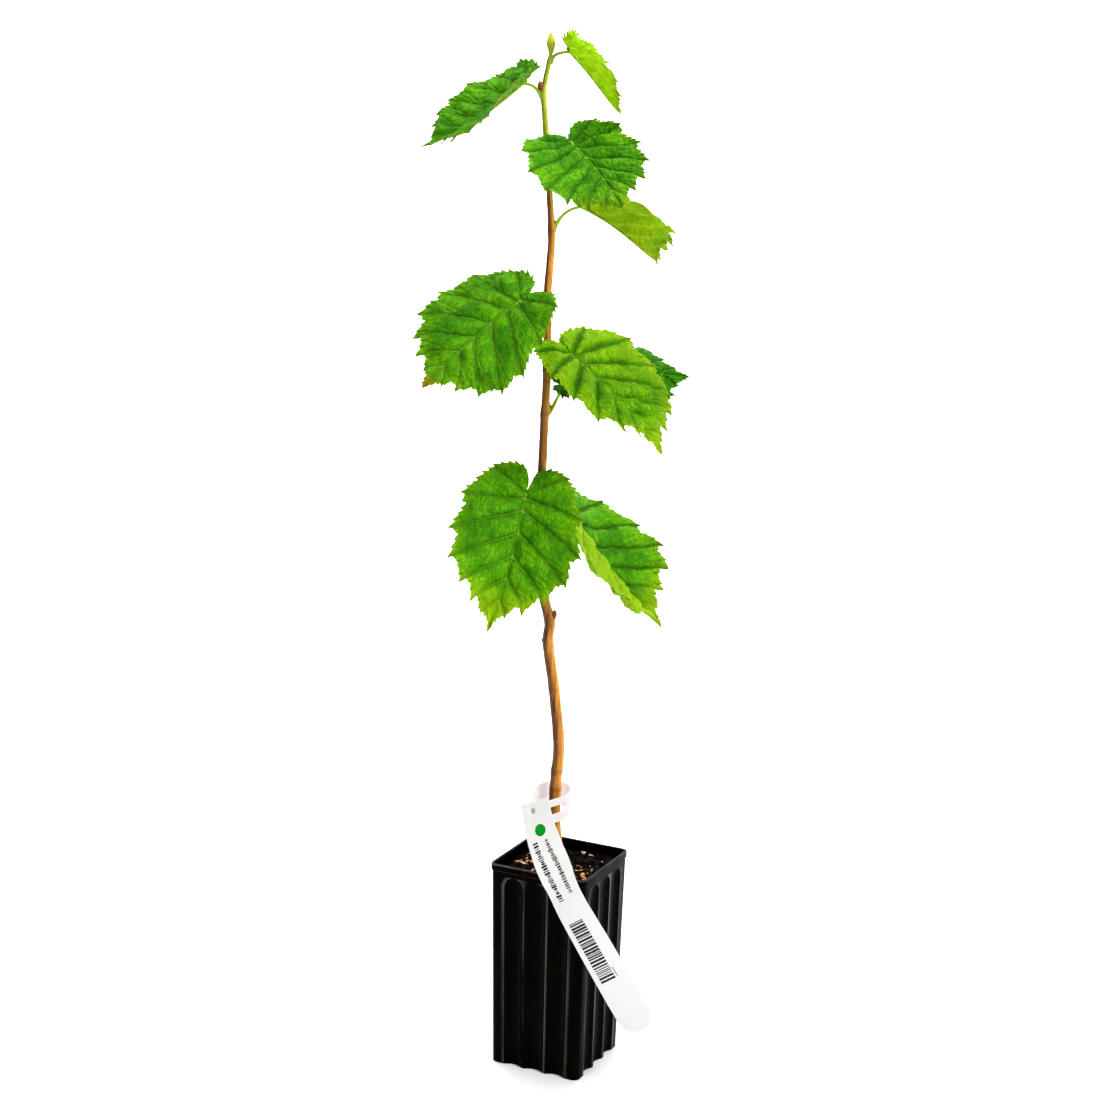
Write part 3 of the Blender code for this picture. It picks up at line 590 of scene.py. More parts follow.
def leaf_finish(leaf, number):
    """A leaf: painted shade in the valleys along its veins, painted light on the swellings between
    them, and paler towards the margin.
    """
    n = Nodes(f"leaf_green_{number}")
    flat = n.attribute("flat", "Vector")
    vein = n.attribute("vein")
    share = n.attribute("share")
    under = n.attribute("under")
    patches = n.span(n.noise(flat, 48.0, 3.0), 0.38, 0.62)
    mottle = n.span(n.noise(flat, 300.0, 4.0), 0.34, 0.66)
    cloud = n.span(n.noise(flat, 130.0, 3.0, 0.6), 0.36, 0.64)
    stray = n.span(n.noise(flat, 110.0, 3.0), 0.2, 0.8, -1.6, 1.6)
    phase = n.math("PINGPONG", n.math("ADD", n.attribute("rung"), stray), 0.5)
    rung = n.times(phase, RUNG_SPACING)
    net = n.math("MINIMUM", n.math("MINIMUM", vein, n.math("ADD", rung, 0.00015)),
                 n.math("ADD", n.attribute("fork"), 0.0001))
    swell = n.span(net, 0.0, 0.0013)
    if leaf.young > 0:
        green = blended(LEAF_GREEN, LEAF_YELLOW, 0.8 * leaf.young)
        light = blended(LEAF_LIGHT, LEAF_YELLOW, 0.9 * leaf.young)
        dark = blended(LEAF_DARK, LEAF_LIGHT, 0.8 * leaf.young)
    else:
        green = blended(LEAF_GREEN, LEAF_DEEP, -leaf.young)
        light = blended(LEAF_LIGHT, LEAF_GREEN, -leaf.young)
        dark = blended(LEAF_DARK, LEAF_DEEP, 0.2)
    fresh = n.math("ADD", n.times(patches, 0.55), n.times(cloud, 0.45))
    # Painted light: the lighter patches show most on the swellings and less near the veins
    bright = n.times(n.times(fresh, 0.95), n.span(swell, 0.2, 1.0, 0.68, 1.0))
    colour = n.mix(bright, green, light)
    colour = n.mix(n.span(share, 0.78, 1.0, 0.0, 0.60), colour, light)
    colour = n.mix(n.span(share, 0.74, 1.0, 0.0, leaf.edge), colour, LEAF_YELLOW)
    colour = n.mix(n.span(patches, 0.0, 0.45, 0.28, 0.0), colour, dark)
    # Painted shade in the valleys: darker near the veins, cross veins and forks, and more so near
    # the side veins
    colour = n.mix(n.span(swell, 0.0, 1.0, 0.14 + 0.32 * leaf.valley, 0.0), colour, dark)
    depth = min(leaf.valley, 1.8 - leaf.valley)
    colour = n.mix(n.span(vein, 0.0, 0.0028, depth, 0.0), colour, dark)
    # Deeply pleated leaves: painted light on the ridges near the base, and painted shade in the
    # valleys beside the veins there, stronger on the right half
    if leaf.valley > 1:
        near = n.span(n.attribute("along"), 0.10, 0.62, 1.0, 0.0)
        ridge = n.times(n.span(vein, 0.0016, 0.0042), near)
        colour = n.mix(n.times(ridge, 0.62), colour, blended(LEAF_LIGHT, LEAF_YELLOW, 0.6))
        valley_shade = n.times(near, n.span(n.attribute("right"), 0.0, 1.0, 0.3, 1.0))
        colour = n.mix(n.times(n.span(vein, 0.0002, 0.0024, 0.62, 0.0), valley_shade), colour, LEAF_DEEP)
    colour = n.mix(n.times(mottle, 0.34), colour, dark)
    wide = 1 + 0.9 * leaf.pale_veins
    fine = n.span(share, 0.1, 0.8, 0.85, 0.15 + 0.35 * leaf.pale_veins)
    line = n.times(n.span(vein, 0.00010 * wide, 0.00038 * wide, 1.0, 0.0), fine)
    colour = n.mix(line, colour, VEIN_TOP)
    if leaf.pale_veins:
        colour = n.mix(n.span(net, 0.0, 0.0004, 0.20 * leaf.pale_veins, 0.0), colour, VEIN_TOP)
    colour = n.mix(n.span(n.attribute("along"), 0.66, 0.95, 0.0, leaf.tip), colour, LEAF_YELLOW)
    if leaf.rust:
        rim = n.times(n.span(share, 0.95, 0.985), n.math("SUBTRACT", 1.0, n.attribute("right")))
        colour = n.mix(n.times(rim, leaf.rust), colour, RUST)
    pale = blended(LEAF_UNDER, LEAF_BRIGHT if leaf.young > 0 else UNDER_DARK, abs(leaf.young))
    below = n.mix(n.times(fresh, 0.9), pale, blended(LEAF_YELLOW, LEAF_BRIGHT, 0.75))
    shade = blended(UNDER_DARK, LEAF_YELLOW, 0.42 * max(leaf.young, 0.0) ** 2)
    below = n.mix(n.times(mottle, 0.55 - 0.15 * leaf.young), below, shade)
    below = n.mix(n.span(patches, 0.0, 0.55, 0.68, 0.0), below, shade)
    below = n.mix(n.span(cloud, 0.0, 0.6, 0.45 - 0.25 * leaf.young, 0.0), below, shade)
    # Painted shade below: darker in the hollows between the veins
    below = n.mix(n.span(swell, 0.35, 1.0, 0.0, 0.36), below, shade)
    below = n.mix(n.span(net, 0.0, 0.0005, 0.45, 0.0), below, VEIN_UNDER)
    below = n.mix(n.span(vein, 0.0, 0.0007, 0.8, 0.0), below, VEIN_UNDER)
    # Painted light: the right half is brightened towards yellow-green, with painted shade kept near
    # its veins
    if leaf.painted_light_right:
        lit_half = n.mix(n.times(mottle, 0.5), LEAF_YELLOW, LEAF_LIGHT)
        lit_half = n.mix(n.span(vein, 0.0, 0.0016, 0.5, 0.0), lit_half, green)
        colour = n.mix(n.times(n.attribute("right"), 0.9 * leaf.painted_light_right), colour, lit_half)
    if leaf.rust:
        below = n.mix(0.6, below, green)
    colour = n.mix(under, colour, below)
    if leaf.brown_tip:
        colour = n.mix(n.span(n.attribute("along"), 0.88, 0.97, 0.0, 0.9), colour, TIP_BROWN)
    normal = n.bump(swell, 0.8, 0.0007)
    normal = n.bump(n.cells(flat, 700.0), 0.3, 0.0003, normal)
    rough = n.math("ADD", n.span(mottle, 0.0, 1.0, 0.46, 0.60), n.times(under, 0.15))
    n.finish(Base_Color=colour, Roughness=rough, Normal=normal, IOR=1.2, Specular_IOR_Level=0.3)
    youth = max(leaf.young, 0.0)
    through = n.mix(0.3 + 0.35 * youth, colour, blended(LEAF_YELLOW, LEAF_BRIGHT, youth))
    return n.glow(0.20 + 0.32 * youth ** 2, through)


def stalk_finish():
    """Yellow-green stalks with fine hairs and a red flush above."""
    n = Nodes("leaf_stalk")
    place = n.place()
    flush = n.span(n.noise(place, 260.0, 3.0), 0.45, 0.7)
    colour = n.mix(n.times(flush, 0.30), (0.27, 0.42, 0.012), (0.40, 0.33, 0.02))
    normal = n.bump(n.noise(place, 2600.0, 2.0), 0.3, 0.0002)
    return n.finish(Base_Color=colour, Roughness=0.5, Normal=normal, Specular_IOR_Level=0.2)


def bark_finish():
    """Young bark, green-yellow at the top and orange-brown below, with painted light on the side
    that faces +x and painted shade on the far side.
    """
    n = Nodes("young_bark")
    place = n.place()
    height = n.height(place)
    streak = n.noise(n.scaled(place, (420.0, 420.0, 26.0)), 1.0, 5.0, 0.6)
    blotch = n.span(n.noise(n.scaled(place, (150.0, 150.0, 48.0)), 1.0, 4.0, 0.6), 0.36, 0.66)
    # Painted light and shade: sun is 1 on the stem's +x side and 0 on the far side, which turns
    # bright orange or green-yellow where lit and dark brown or olive where shaded
    sun = n.math("ADD", n.attribute("sun"), n.span(streak, 0.3, 0.7, -0.30, 0.30))
    brown = n.mix(n.span(sun, 0.32, 0.98), (0.080, 0.020, 0.0018), (0.88, 0.360, 0.042))
    brown = n.mix(n.times(blotch, 0.50), brown, (0.22, 0.062, 0.006))
    green = n.mix(n.span(sun, 0.15, 0.85), (0.14, 0.185, 0.006), (0.50, 0.53, 0.030))
    ripe = n.math("ADD", height, n.span(blotch, 0.0, 1.0, -0.010, 0.010))
    colour = n.mix(n.span(ripe, 0.602, 0.668), brown, green)
    node = n.attribute("shade")
    colour = n.mix(n.times(node, 0.80), colour, (0.080, 0.018, 0.003))
    fine = n.noise(n.scaled(place, (900.0, 900.0, 120.0)), 1.0, 4.0, 0.6)
    normal = n.bump(streak, 0.35, 0.0006)
    normal = n.bump(fine, 0.25, 0.0002, normal)
    rough = n.span(streak, 0.3, 0.7, 0.55, 0.42)
    return n.finish(Base_Color=colour, Roughness=rough, Normal=normal, Specular_IOR_Level=0.22)


def lenticel_finish():
    n = Nodes("lenticel")
    spread = n.noise(n.place(), 900.0, 2.0)
    return n.finish(Base_Color=n.mix(spread, (0.26, 0.11, 0.03), (0.42, 0.21, 0.07)), Roughness=0.8)


def bud_finish(name, dark, light):
    """Bud scales, paler at their edges."""
    n = Nodes(name)
    place = n.place()
    colour = n.mix(n.attribute("shade"), dark, light)
    colour = n.mix(n.times(n.noise(place, 700.0, 3.0), 0.4), colour, dark)
    normal = n.bump(n.noise(place, 1800.0, 2.0), 0.25, 0.0002)
    return n.finish(Base_Color=colour, Roughness=0.45, Normal=normal, Specular_IOR_Level=0.2)


def pot_finish():
    """Black moulded plastic with scuffs, dust, a fine grain and painted highlights along the flute
    edges and the lip.
    """
    n = Nodes("pot_plastic")
    place = n.place()
    scuff = n.span(n.noise(n.scaled(place, (110.0, 110.0, 12.0)), 1.0, 6.0, 0.62), 0.50, 0.74)
    dust = n.span(n.noise(place, 42.0, 5.0, 0.6), 0.46, 0.72)
    colour = n.mix(n.times(scuff, 0.06), (0.0004, 0.0003, 0.0003), (0.024, 0.019, 0.015))
    colour = n.mix(n.times(dust, 0.02), colour, (0.050, 0.038, 0.028))
    # Painted highlights: warm grey streaks along the flute edges and the lip, broken up by noise
    painted_highlight = n.times(n.span(n.attribute("painted_highlight"), 0.45, 1.0),
                  n.span(n.noise(n.scaled(place, (60.0, 60.0, 9.0)), 1.0, 4.0), 0.36, 0.62))
    colour = n.mix(n.times(painted_highlight, 0.85), colour, (0.172, 0.150, 0.126))
    rough = n.math("ADD", n.span(scuff, 0.0, 1.0, 0.20, 0.34), n.times(dust, 0.10))
    grain = n.noise(place, 2200.0, 2.0)
    waves = n.noise(n.scaled(place, (160.0, 160.0, 22.0)), 1.0, 3.0)
    normal = n.bump(waves, 0.15, 0.0005)
    normal = n.bump(grain, 0.10, 0.0001, normal)
    return n.finish(Base_Color=colour, Roughness=rough, Normal=normal, Specular_IOR_Level=0.012)


def soil_finish():
    n = Nodes("compost")
    place = n.place()
    fibre = n.noise(place, 420.0, 6.0, 0.7, 0.6)
    colour = n.mix(n.span(fibre, 0.40, 0.75), (0.0004, 0.0002, 0.0002), (0.0045, 0.0022, 0.0012))
    normal = n.bump(fibre, 0.7, 0.0012)
    return n.finish(Base_Color=colour, Roughness=0.95, Normal=normal, Specular_IOR_Level=0.03)


def chip_finish(name, dark, light):
    """Bark chips: fibrous, each of its own shade."""
    n = Nodes(name)
    place = n.place()
    colour = n.mix(n.attribute("shade"), dark, light)
    grain = n.noise(n.scaled(place, (900.0, 260.0, 900.0)), 1.0, 3.0)
    colour = n.mix(n.times(grain, 0.5), colour, dark)
    normal = n.bump(grain, 0.5, 0.0004)
    return n.finish(Base_Color=colour, Roughness=0.85, Normal=normal, Specular_IOR_Level=0.05)


def tag_finish(name, clear):
    """White plastic film: faintly uneven, bright where light comes through it, and darker towards
    its lower end as painted shade.
    """
    n = Nodes(name)
    place = n.place()
    height = n.height(place)
    soft = n.span(n.noise(place, 60.0, 3.0), 0.35, 0.7, -0.05, 0.05)
    # Painted shade: the film is darker towards its lower end, to offset the stronger light there
    colour = n.mix(n.math("ADD", n.span(height, 0.055, 0.150), soft), (0.765, 0.765, 0.755),
                   (0.89, 0.89, 0.878))
    normal = n.bump(n.noise(place, 900.0, 2.0), 0.08, 0.0001)
    n.finish(Base_Color=colour, Roughness=0.65, Normal=normal, Specular_IOR_Level=0.08)
    return n.glow(clear, (0.90, 0.86, 0.86))


def ink_finish(name, colour, highlit):
    n = Nodes(name)
    speck = n.span(n.noise(n.place(), 1500.0, 2.0), 0.35, 0.65)
    return n.finish(Base_Color=n.mix(n.times(speck, 0.35), colour, highlit), Roughness=0.8,
                    Specular_IOR_Level=0.03)


# ---------------------------------------------------------------- leaves

OUTLINE = spline(HALF_OUTLINE, 12)
OUTLINE_ARC = np.insert(np.cumsum(np.linalg.norm(np.diff(OUTLINE, axis=0), axis=1)), 0, 0.0)
OUTLINE_ARC /= OUTLINE_ARC[-1]


def turned(slopes, distances):
    """Across and up, travelling each distance at its slope."""
    steps = np.diff(distances)
    middle = (slopes[1:] + slopes[:-1]) / 2
    across = np.insert(np.cumsum(np.cos(middle) * steps), 0, 0.0)
    up = np.insert(np.cumsum(np.sin(middle) * steps), 0, 0.0)
    return across, up


def cross_section(leaf, distance, left, tip):
    """Across and up at a distance from the midrib, near the base or near the tip."""
    way = np.linspace(0.0, SECTION_REACH * leaf.length, 220)
    fold = math.radians(leaf.fold + (leaf.close if tip else 0.0))
    curl = math.radians(leaf.curl + (leaf.skew if left else -leaf.skew))
    slopes = fold * np.tanh(way / CREASE) + curl * way / (WIDEST * leaf.length)
    across, up = turned(slopes, way)
    return np.interp(distance, way, across), np.interp(distance, way, up)


def bend(leaf, along, aside):
    """Flat blade coordinates to the curved blade, in the leaf's own frame."""
    share = np.clip(along / leaf.length, 0.0, 1.0)
    distance = np.abs(aside)
    across = leaf.bow * leaf.length * np.sin(math.pi * share)
    up = np.zeros_like(aside)
    for tip in (False, True):
        weight = share if tip else 1 - share
        left = cross_section(leaf, distance, True, tip)
        right = cross_section(leaf, distance, False, tip)
        across += weight * np.where(aside >= 0, left[0], -right[0])
        up += weight * np.where(aside >= 0, left[1], right[1])
    way = np.linspace(-0.3 * leaf.length, 1.05 * leaf.length, 270)
    slopes = -math.radians(leaf.droop) * np.clip(way / leaf.length, 0.0, None)
    forward, fall = turned(slopes, way)
    forward -= np.interp(0.0, way, forward)
    slope = np.interp(along, way, slopes)
    twist = math.radians(leaf.twist) * share
    side = across * np.cos(twist) - up * np.sin(twist)
    lift = across * np.sin(twist) + up * np.cos(twist)
    return np.stack([np.interp(along, way, forward) - lift * np.sin(slope), side,
                     np.interp(along, way, fall) + lift * np.cos(slope)], axis=-1)


def leaf_axes(leaf):
    """Rows: along the midrib, to the leaf's left, and up from its face, plant frame."""
    heading, pitch, roll = (math.radians(angle) for angle in (leaf.heading, leaf.pitch, leaf.roll))
    along = np.array((math.cos(pitch) * math.cos(heading), math.cos(pitch) * math.sin(heading),
                      math.sin(pitch)))
    level = np.array((-math.sin(heading), math.cos(heading), 0.0))
    upright = np.cross(along, level)
    return np.array([along, math.cos(roll) * level + math.sin(roll) * upright,
                     math.cos(roll) * upright - math.sin(roll) * level])


def blade_point(leaf, along, aside):
    """Flat blade coordinates to a point in the plant frame."""
    return np.array(leaf.base) + bend(leaf, along, aside) @ leaf_axes(leaf)


def blade_normal(leaf, along, aside):
    step = 0.0002
    forward = blade_point(leaf, along + step, aside) - blade_point(leaf, along - step, aside)
    sideways = blade_point(leaf, along, aside + step) - blade_point(leaf, along, aside - step)
    normal = np.cross(forward, sideways)
    return normal / np.linalg.norm(normal, axis=-1, keepdims=True)


def margin_rows(rng):
    """Places along the margin with each one's tooth and lobe, from 0 to 1, base to tip."""
    places, teeth, lobes = [], [], []
    for start, end, count in zip(VEIN_ENDS, VEIN_ENDS[1:], TEETH):
        breaks = np.linspace(0.0, 1.0, count + 1)
        breaks[1:-1] += rng.uniform(-0.14, 0.14, count - 1) / count
        for first, last in zip(breaks, breaks[1:]):
            size = rng.uniform(0.65, 1.25)
            for step in range(ROWS_PER_TOOTH):
                phase = step / ROWS_PER_TOOTH
                within = first + (last - first) * phase
                places.append(start + (end - start) * within)
                rise = (1 - phase / TOOTH_BACK if phase < TOOTH_BACK
                        else ((phase - TOOTH_BACK) / (1 - TOOTH_BACK)) ** 1.35)
                teeth.append(size * rise)
                lobes.append(1 - within / NOTCH if within < NOTCH
                             else ((within - NOTCH) / (1 - NOTCH)) ** 1.3)
    return np.array(places + [1.0]), np.array(teeth + [0.0]), np.array(lobes + [0.0])


def half_blade(leaf, left, rng):
    """Flat grid of one half: along, aside, and how far each point is from a vein."""
    margin, teeth, lobes = margin_rows(rng)
    edge = np.stack([np.interp(margin, OUTLINE_ARC, OUTLINE[:, axis]) for axis in (0, 1)], -1)
    forward = np.gradient(edge, axis=0)
    forward /= np.linalg.norm(forward, axis=1, keepdims=True)
    outward = np.stack([-forward[:, 1], forward[:, 0]], -1)
    edge[:, 1] *= leaf.left if left else leaf.right
    calm = smooth_step(margin, 0.02, 0.10) * smooth_step(margin, 1.0, 0.955)
    strong = 0.25 + 0.75 * smooth_step(margin, 0.22, 0.50) + 0.7 * max(0.0, leaf.jag - 1)
    strong *= smooth_step(margin, 0.0, 0.10) * smooth_step(margin, 0.965, 0.86)
    coarse = leaf.jag * (0.085 / leaf.length) ** 0.7
    tooth = TOOTH_HEIGHT * coarse * teeth * calm
    reach = tooth + LOBE_HEIGHT * (lobes - 0.52) * strong
    lean = TOOTH_LEAN * (tooth + 0.35 * LOBE_HEIGHT * lobes * strong)
    shift = outward * (reach - 0.35 * TOOTH_HEIGHT * calm)[:, None] + forward * lean[:, None]
    columns = int(BLADE_COLUMNS * DETAIL)
    share = np.linspace(0.0, 1.0, columns + 1) ** 0.85
    root = np.stack([np.interp(margin, VEIN_ENDS, VEIN_ROOTS), np.zeros_like(margin)], -1)
    line = root[:, None] + (edge - root)[:, None] * share[None, :, None]
    pull = smooth_step(share, 0.66, 1.0)
    flat = (line + shift[:, None] * pull[None, :, None]) * leaf.length
    step_s = np.gradient(line, axis=0) / np.gradient(margin)[:, None, None] * leaf.length
    ray = unit_rows(edge - root)
    pitch = np.abs(step_s[..., 0] * ray[:, None, 1] - step_s[..., 1] * ray[:, None, 0])
    across = np.full(pitch.shape, 1.0)
    for end in VEIN_ENDS[1:-1]:
        across = np.minimum(across, np.abs(margin[:, None] - end) * pitch)
    fork = np.full(pitch.shape, 1.0)
    for end, before in zip(VEIN_ENDS[1:], VEIN_ENDS):
        for start, spread in FORKS:
            grow = np.clip((share[None, :] - start) / (1 - start), 0.0, 1.0)
            route = end - (end - before) * spread * grow ** 0.8
            distance = np.abs(margin[:, None] - route) * pitch
            fork = np.minimum(fork, distance + 0.01 * (share[None, :] < start))
    from_rib = np.linalg.norm(line - root[:, None], axis=-1) * leaf.length
    gap = np.searchsorted(VEIN_ENDS, margin, side="right")[:, None]
    rung = from_rib / RUNG_SPACING + 0.37 * gap * (1 if left else 1.7)
    sign = 1 if left else -1
    return {
        "along": flat[..., 0], "aside": flat[..., 1] * sign, "vein": across, "fork": fork,
        "rib": from_rib, "share": np.broadcast_to(share, pitch.shape), "rung": rung,
        "right": np.full(pitch.shape, 0.0 if left else 1.0),
    }


def leaf_mesh(leaf, number, green, stalk):
    """One fine leaf: pleated, toothed blade with ribs below, its midrib and its stalk."""
    rng = np.random.default_rng(TOOTH_SEED + number)
    left = half_blade(leaf, True, rng)
    right = half_blade(leaf, False, rng)
    both = {key: np.hstack([left[key][:, ::-1], right[key][:, 1:]]) for key in left}
    along, aside = both["along"], both["aside"]
    rows, columns = along.shape
    middle = blade_point(leaf, along, aside)
    normal = blade_normal(leaf, along, aside)
    room = 1 - np.exp(-both["rib"] / PLEAT_FADE)
    height = PLEAT_HEIGHT * leaf.pleat * (0.6 + 0.7 * leaf.valley) * leaf.length
    pleat = height * (1 - np.exp(-both["vein"] / PLEAT_FADE)) * room
    pleat *= smooth_step(both["share"], 1.06, 0.55) * 0.7 + 0.3
    pleat += FORK_HEIGHT * (1 - np.exp(-np.minimum(both["fork"], both["vein"]) / FORK_FADE)) * room
    flat = np.stack([along, aside], -1).reshape(-1, 2)
    pucker, buckle, wave = (ripples(flat, wavelength, seed + number, waves).reshape(rows, columns)
                            for wavelength, seed, waves in RIPPLES)
    lift = (pleat + (PUCKER_HEIGHT * pucker + BUCKLE_HEIGHT * buckle) * room
            + WAVE_HEIGHT * leaf.length * wave * both["share"] ** 2)
    rib = RIB_HEIGHT * np.exp(-(both["vein"] / 0.0006) ** 2) * (1 - 0.7 * both["share"])
    top = middle + normal * (lift + LEAF_THICKNESS / 2)[..., None]
    low = middle + normal * (lift - LEAF_THICKNESS / 2 - rib)[..., None]
    shell = Shell()
    size = rows * columns
    shell.add(*sheet_solid(top, low))
    way = np.linspace(-0.004, 0.93 * leaf.length, 60)
    thick = np.interp(way / leaf.length, (0.0, 0.3, 0.95), (0.0008, 0.0006, 0.00018))
    below = blade_normal(leaf, way, np.zeros_like(way)) * (thick + 0.00005)[:, None]
    shell.add(*tube(blade_point(leaf, way, np.zeros_like(way)) - below, thick, 10), kind=1)
    shell.add(*tube(*stalk_route(leaf), 16), kind=1)
    result = shell.build(f"leaf_{number}_fine", [green, stalk], smooth=0)
    extra = shell.count - 2 * size
    both["vein"] = np.minimum(both["vein"], both["rib"])
    both["along"] = along / leaf.length
    for key in ("vein", "fork", "share", "along", "rung", "right"):
        store(result, key, np.concatenate([np.tile(both[key].ravel(), 2), np.zeros(extra)]))
    store(result, "under", np.concatenate([np.zeros(size), np.ones(size + extra)]))
    place = np.column_stack([np.tile(flat, (2, 1)), np.full(2 * size, 0.01 * number)])
    store(result, "flat", np.vstack([place, np.zeros((extra, 3))]), "FLOAT_VECTOR", "vector")
    settle(result, "leaf", f"leaf_{number}")


def stalk_route(leaf):
    """Path and radii of a stalk: out and up from the stem, over to the blade, on beneath it."""
    axes = leaf_axes(leaf)
    base = np.array(leaf.base)
    centre = stem_centre(leaf.node)
    out = stalk_way(leaf)
    start = centre + out * stem_radius(leaf.node) * 0.35 - np.array((0, 0, 0.0012))
    reach = 0.44 * np.linalg.norm(base - start)
    handles = (start, start + raised(out, leaf.rise) * reach,
               base - radial(leaf.heading) * reach, base)
    path = []
    for t in np.linspace(0.0, 1.0, 28):
        weights = ((1 - t) ** 3, 3 * t * (1 - t) ** 2, 3 * t ** 2 * (1 - t), t ** 3)
        path.append(sum(weight * handle for weight, handle in zip(weights, handles)))
    under = np.linspace(0.1, 1.0, 8) * STALK_SINK * leaf.length
    path += list(blade_point(leaf, under, np.zeros(8)) - axes[2] * STALK_WIDTH * 0.6)
    shares = np.linspace(0.0, 1.0, len(path))
    slim = np.interp(leaf.length, (0.05, 0.10), (0.92, 1.0))
    radii = np.interp(shares, (0.0, 0.12, 0.3, 0.7, 0.8, 1.0),
                      (0.0021, 0.0016, 0.00120, 0.0011, 0.0011, 0.0005)) * slim
    return np.array(path), radii


# ---------------------------------------------------------------- stem and buds

STEM_CURVE = spline([(x, y, z) for z, x, y in STEM_AXIS], 6)


def stem_centre(height):
    x = np.interp(height, STEM_CURVE[:, 2], STEM_CURVE[:, 0])
    y = np.interp(height, STEM_CURVE[:, 2], STEM_CURVE[:, 1])
    return np.array((x, y, height))


def node_heights():
    return BARE_NODES + tuple(leaf.node for leaf in LEAVES)


def stem_radius(height):
    """Half of the stem's width at a height, with the swellings at its nodes."""
    heights, widths = zip(*STEM_WIDTHS)
    radius = np.interp(height, heights, widths) / 2
    swells = (BARE_SWELL,) * len(BARE_NODES) + (NODE_SWELL,) * len(LEAVES)
    return radius * (1 + max(swell * max(0.0, 1 - ((height - node) / NODE_REACH) ** 2)
                             for node, swell in zip(node_heights(), swells)))


def stalk_way(leaf):
    """The level direction in which a leaf's stalk leaves the stem."""
    return unit((np.array(leaf.base) - stem_centre(leaf.node)) * (1, 1, 0))


def make_trunk(bark):
    """The stem with low ridges, leaf-scar rings and dark nodes."""
    sides = int(40 * DETAIL)
    heights = np.arange(STEM_FOOT, STEM_TOP, 0.0012 / DETAIL)
    angles = circle(sides)
    rng = random.Random(BARK_SEED)
    phases = [rng.uniform(0, math.tau) for _ in BARK_RIDGES]
    points = []
    shades = []
    marks = RINGS + (LEAF_RING,) * len(LEAVES)
    turns = [rng.uniform(0, math.tau) for _ in marks]
    for height in heights:
        centre = stem_centre(height)
        radius = stem_radius(height)
        gap, mark, turn = min((abs(height - node), mark, turn)
                              for node, mark, turn in zip(node_heights(), marks, turns))
        near = np.abs(gap + 0.0005 * np.sin(angles + turn))
        old = mark * float(np.interp(height, (0.60, 0.66), (1.0, 0.0)))
        old = old * (0.7 + 0.3 * np.sin(angles + 2 * turn))
        ring = old * (0.05 * np.exp(-(near / 0.0008) ** 2)
                      - 0.03 * np.exp(-((near - 0.002) / 0.0007) ** 2))
        relief = 1 + ring
        for phase, (ridge, number, twist) in zip(phases, BARK_RIDGES):
            relief = relief + ridge * np.sin(number * angles + phase + twist * height)
        points.append(centre + np.stack([radius * relief * np.cos(angles),
                                         radius * relief * np.sin(angles),
                                         np.zeros(sides)], -1))
        shades += list(old * np.exp(-(near / 0.0013) ** 2))
    points = np.vstack(points)
    surface = ripples(points * (1, 1, 0.12), 0.0022, 5)
    centres = np.repeat([stem_centre(height) for height in heights], sides, axis=0)
    points += (points - centres) * (BARK_GRAIN * surface)[:, None]
    trunk = new_mesh("stem_bark", points, tube_faces(len(heights), sides), [bark], smooth=0)
    store(trunk, "shade", shades)
    # Painted light and shade round the stem: 1 on its +x side, 0 on the far side
    store(trunk, "sun", list(0.5 + 0.5 * np.cos(angles)) * len(heights))
    settle(trunk, "bark", "trunk")


def make_lenticels(finish):
    """Small corky pores, upright and slightly raised, scattered over the brown bark."""
    rng = random.Random(LENTICEL_SEED)
    shell = Shell()
    for _ in range(LENTICELS):
        height = rng.uniform(*LENTICEL_HEIGHTS)
        turn = radial(rng.uniform(0, 360))
        radius = stem_radius(height)
        centre = stem_centre(height) + turn * radius * 0.985
        size = rng.uniform(0.6, 1.2)
        path = [centre + np.array((0, 0, 0.0008 * size * t)) for t in np.linspace(-1, 1, 7)]
        radii = [0.00026 * size * math.sqrt(max(0.02, 1 - t * t)) for t in np.linspace(-1, 1, 7)]
        shell.add(*tube(path, radii, 8), value=rng.random())
    settle(shell.build("lenticels", [finish]), "bark")


def scale_shell(base, axis, side, length, width, profile, span, wrap, shell, shade):
    """One bud scale: a curved pointed sheet that hugs the bud from a side."""
    other = np.cross(axis, side)
    rows, columns = 12, 9
    points = []
    for row in range(rows):
        t = row / (rows - 1)
        along = span[0] + (span[1] - span[0]) * t
        girth = bud_girth(profile, along) * width / 2 + 0.00008 + 0.00014 * (1 - t)
        for column in range(columns):
            across = (column / (columns - 1) * 2 - 1) * wrap * (1 - t ** 2.2) ** 0.5
            out = math.cos(across) * side + math.sin(across) * other
            points.append(base + axis * length * along + out * girth * (1 - 0.05 * abs(across)))
    outer = np.array(points)
    inner = outer - (outer - (base + axis * (((outer - base) @ axis)[:, None]))) * 0.10
    edge = np.linspace(0.15, 1.0, rows).repeat(columns) * shade
    shell.add(*sheet_solid(outer.reshape(rows, columns, 3), inner.reshape(rows, columns, 3)),
              value=np.tile(edge, 2))


def bud_girth(profile, share):
    """Share of a bud's half width at a share of its length."""
    curve = spline(profile, 6)
    return float(np.interp(share, curve[:, 0], curve[:, 1]))


def make_bud(shell, base, axis, length, width, profile, scales, spin=0.0):
    """A pointed bud wrapped in overlapping scales."""
    shares = np.linspace(0.0, 1.0, 22)
    path = [base + axis * length * t for t in shares]
    radii = [width / 2 * bud_girth(profile, t) * 0.95 + 0.00003 for t in shares]
    shell.add(*tube(path, radii, 18), value=0.5)
    first = unit(np.cross(axis, (0.2, 0.9, 0.1)))
    second = np.cross(axis, first)
    for index in range(scales):
        turn = spin + index * 2.4
        side = math.cos(turn) * first + math.sin(turn) * second
        start = 0.02 + 0.27 * index / scales
        reach = 0.55 + 0.45 * (index + 1) / scales
        scale_shell(base, axis, side, length, width * 0.99, profile, (start, reach), 1.25, shell,
                    0.6 + 0.4 * index / scales)


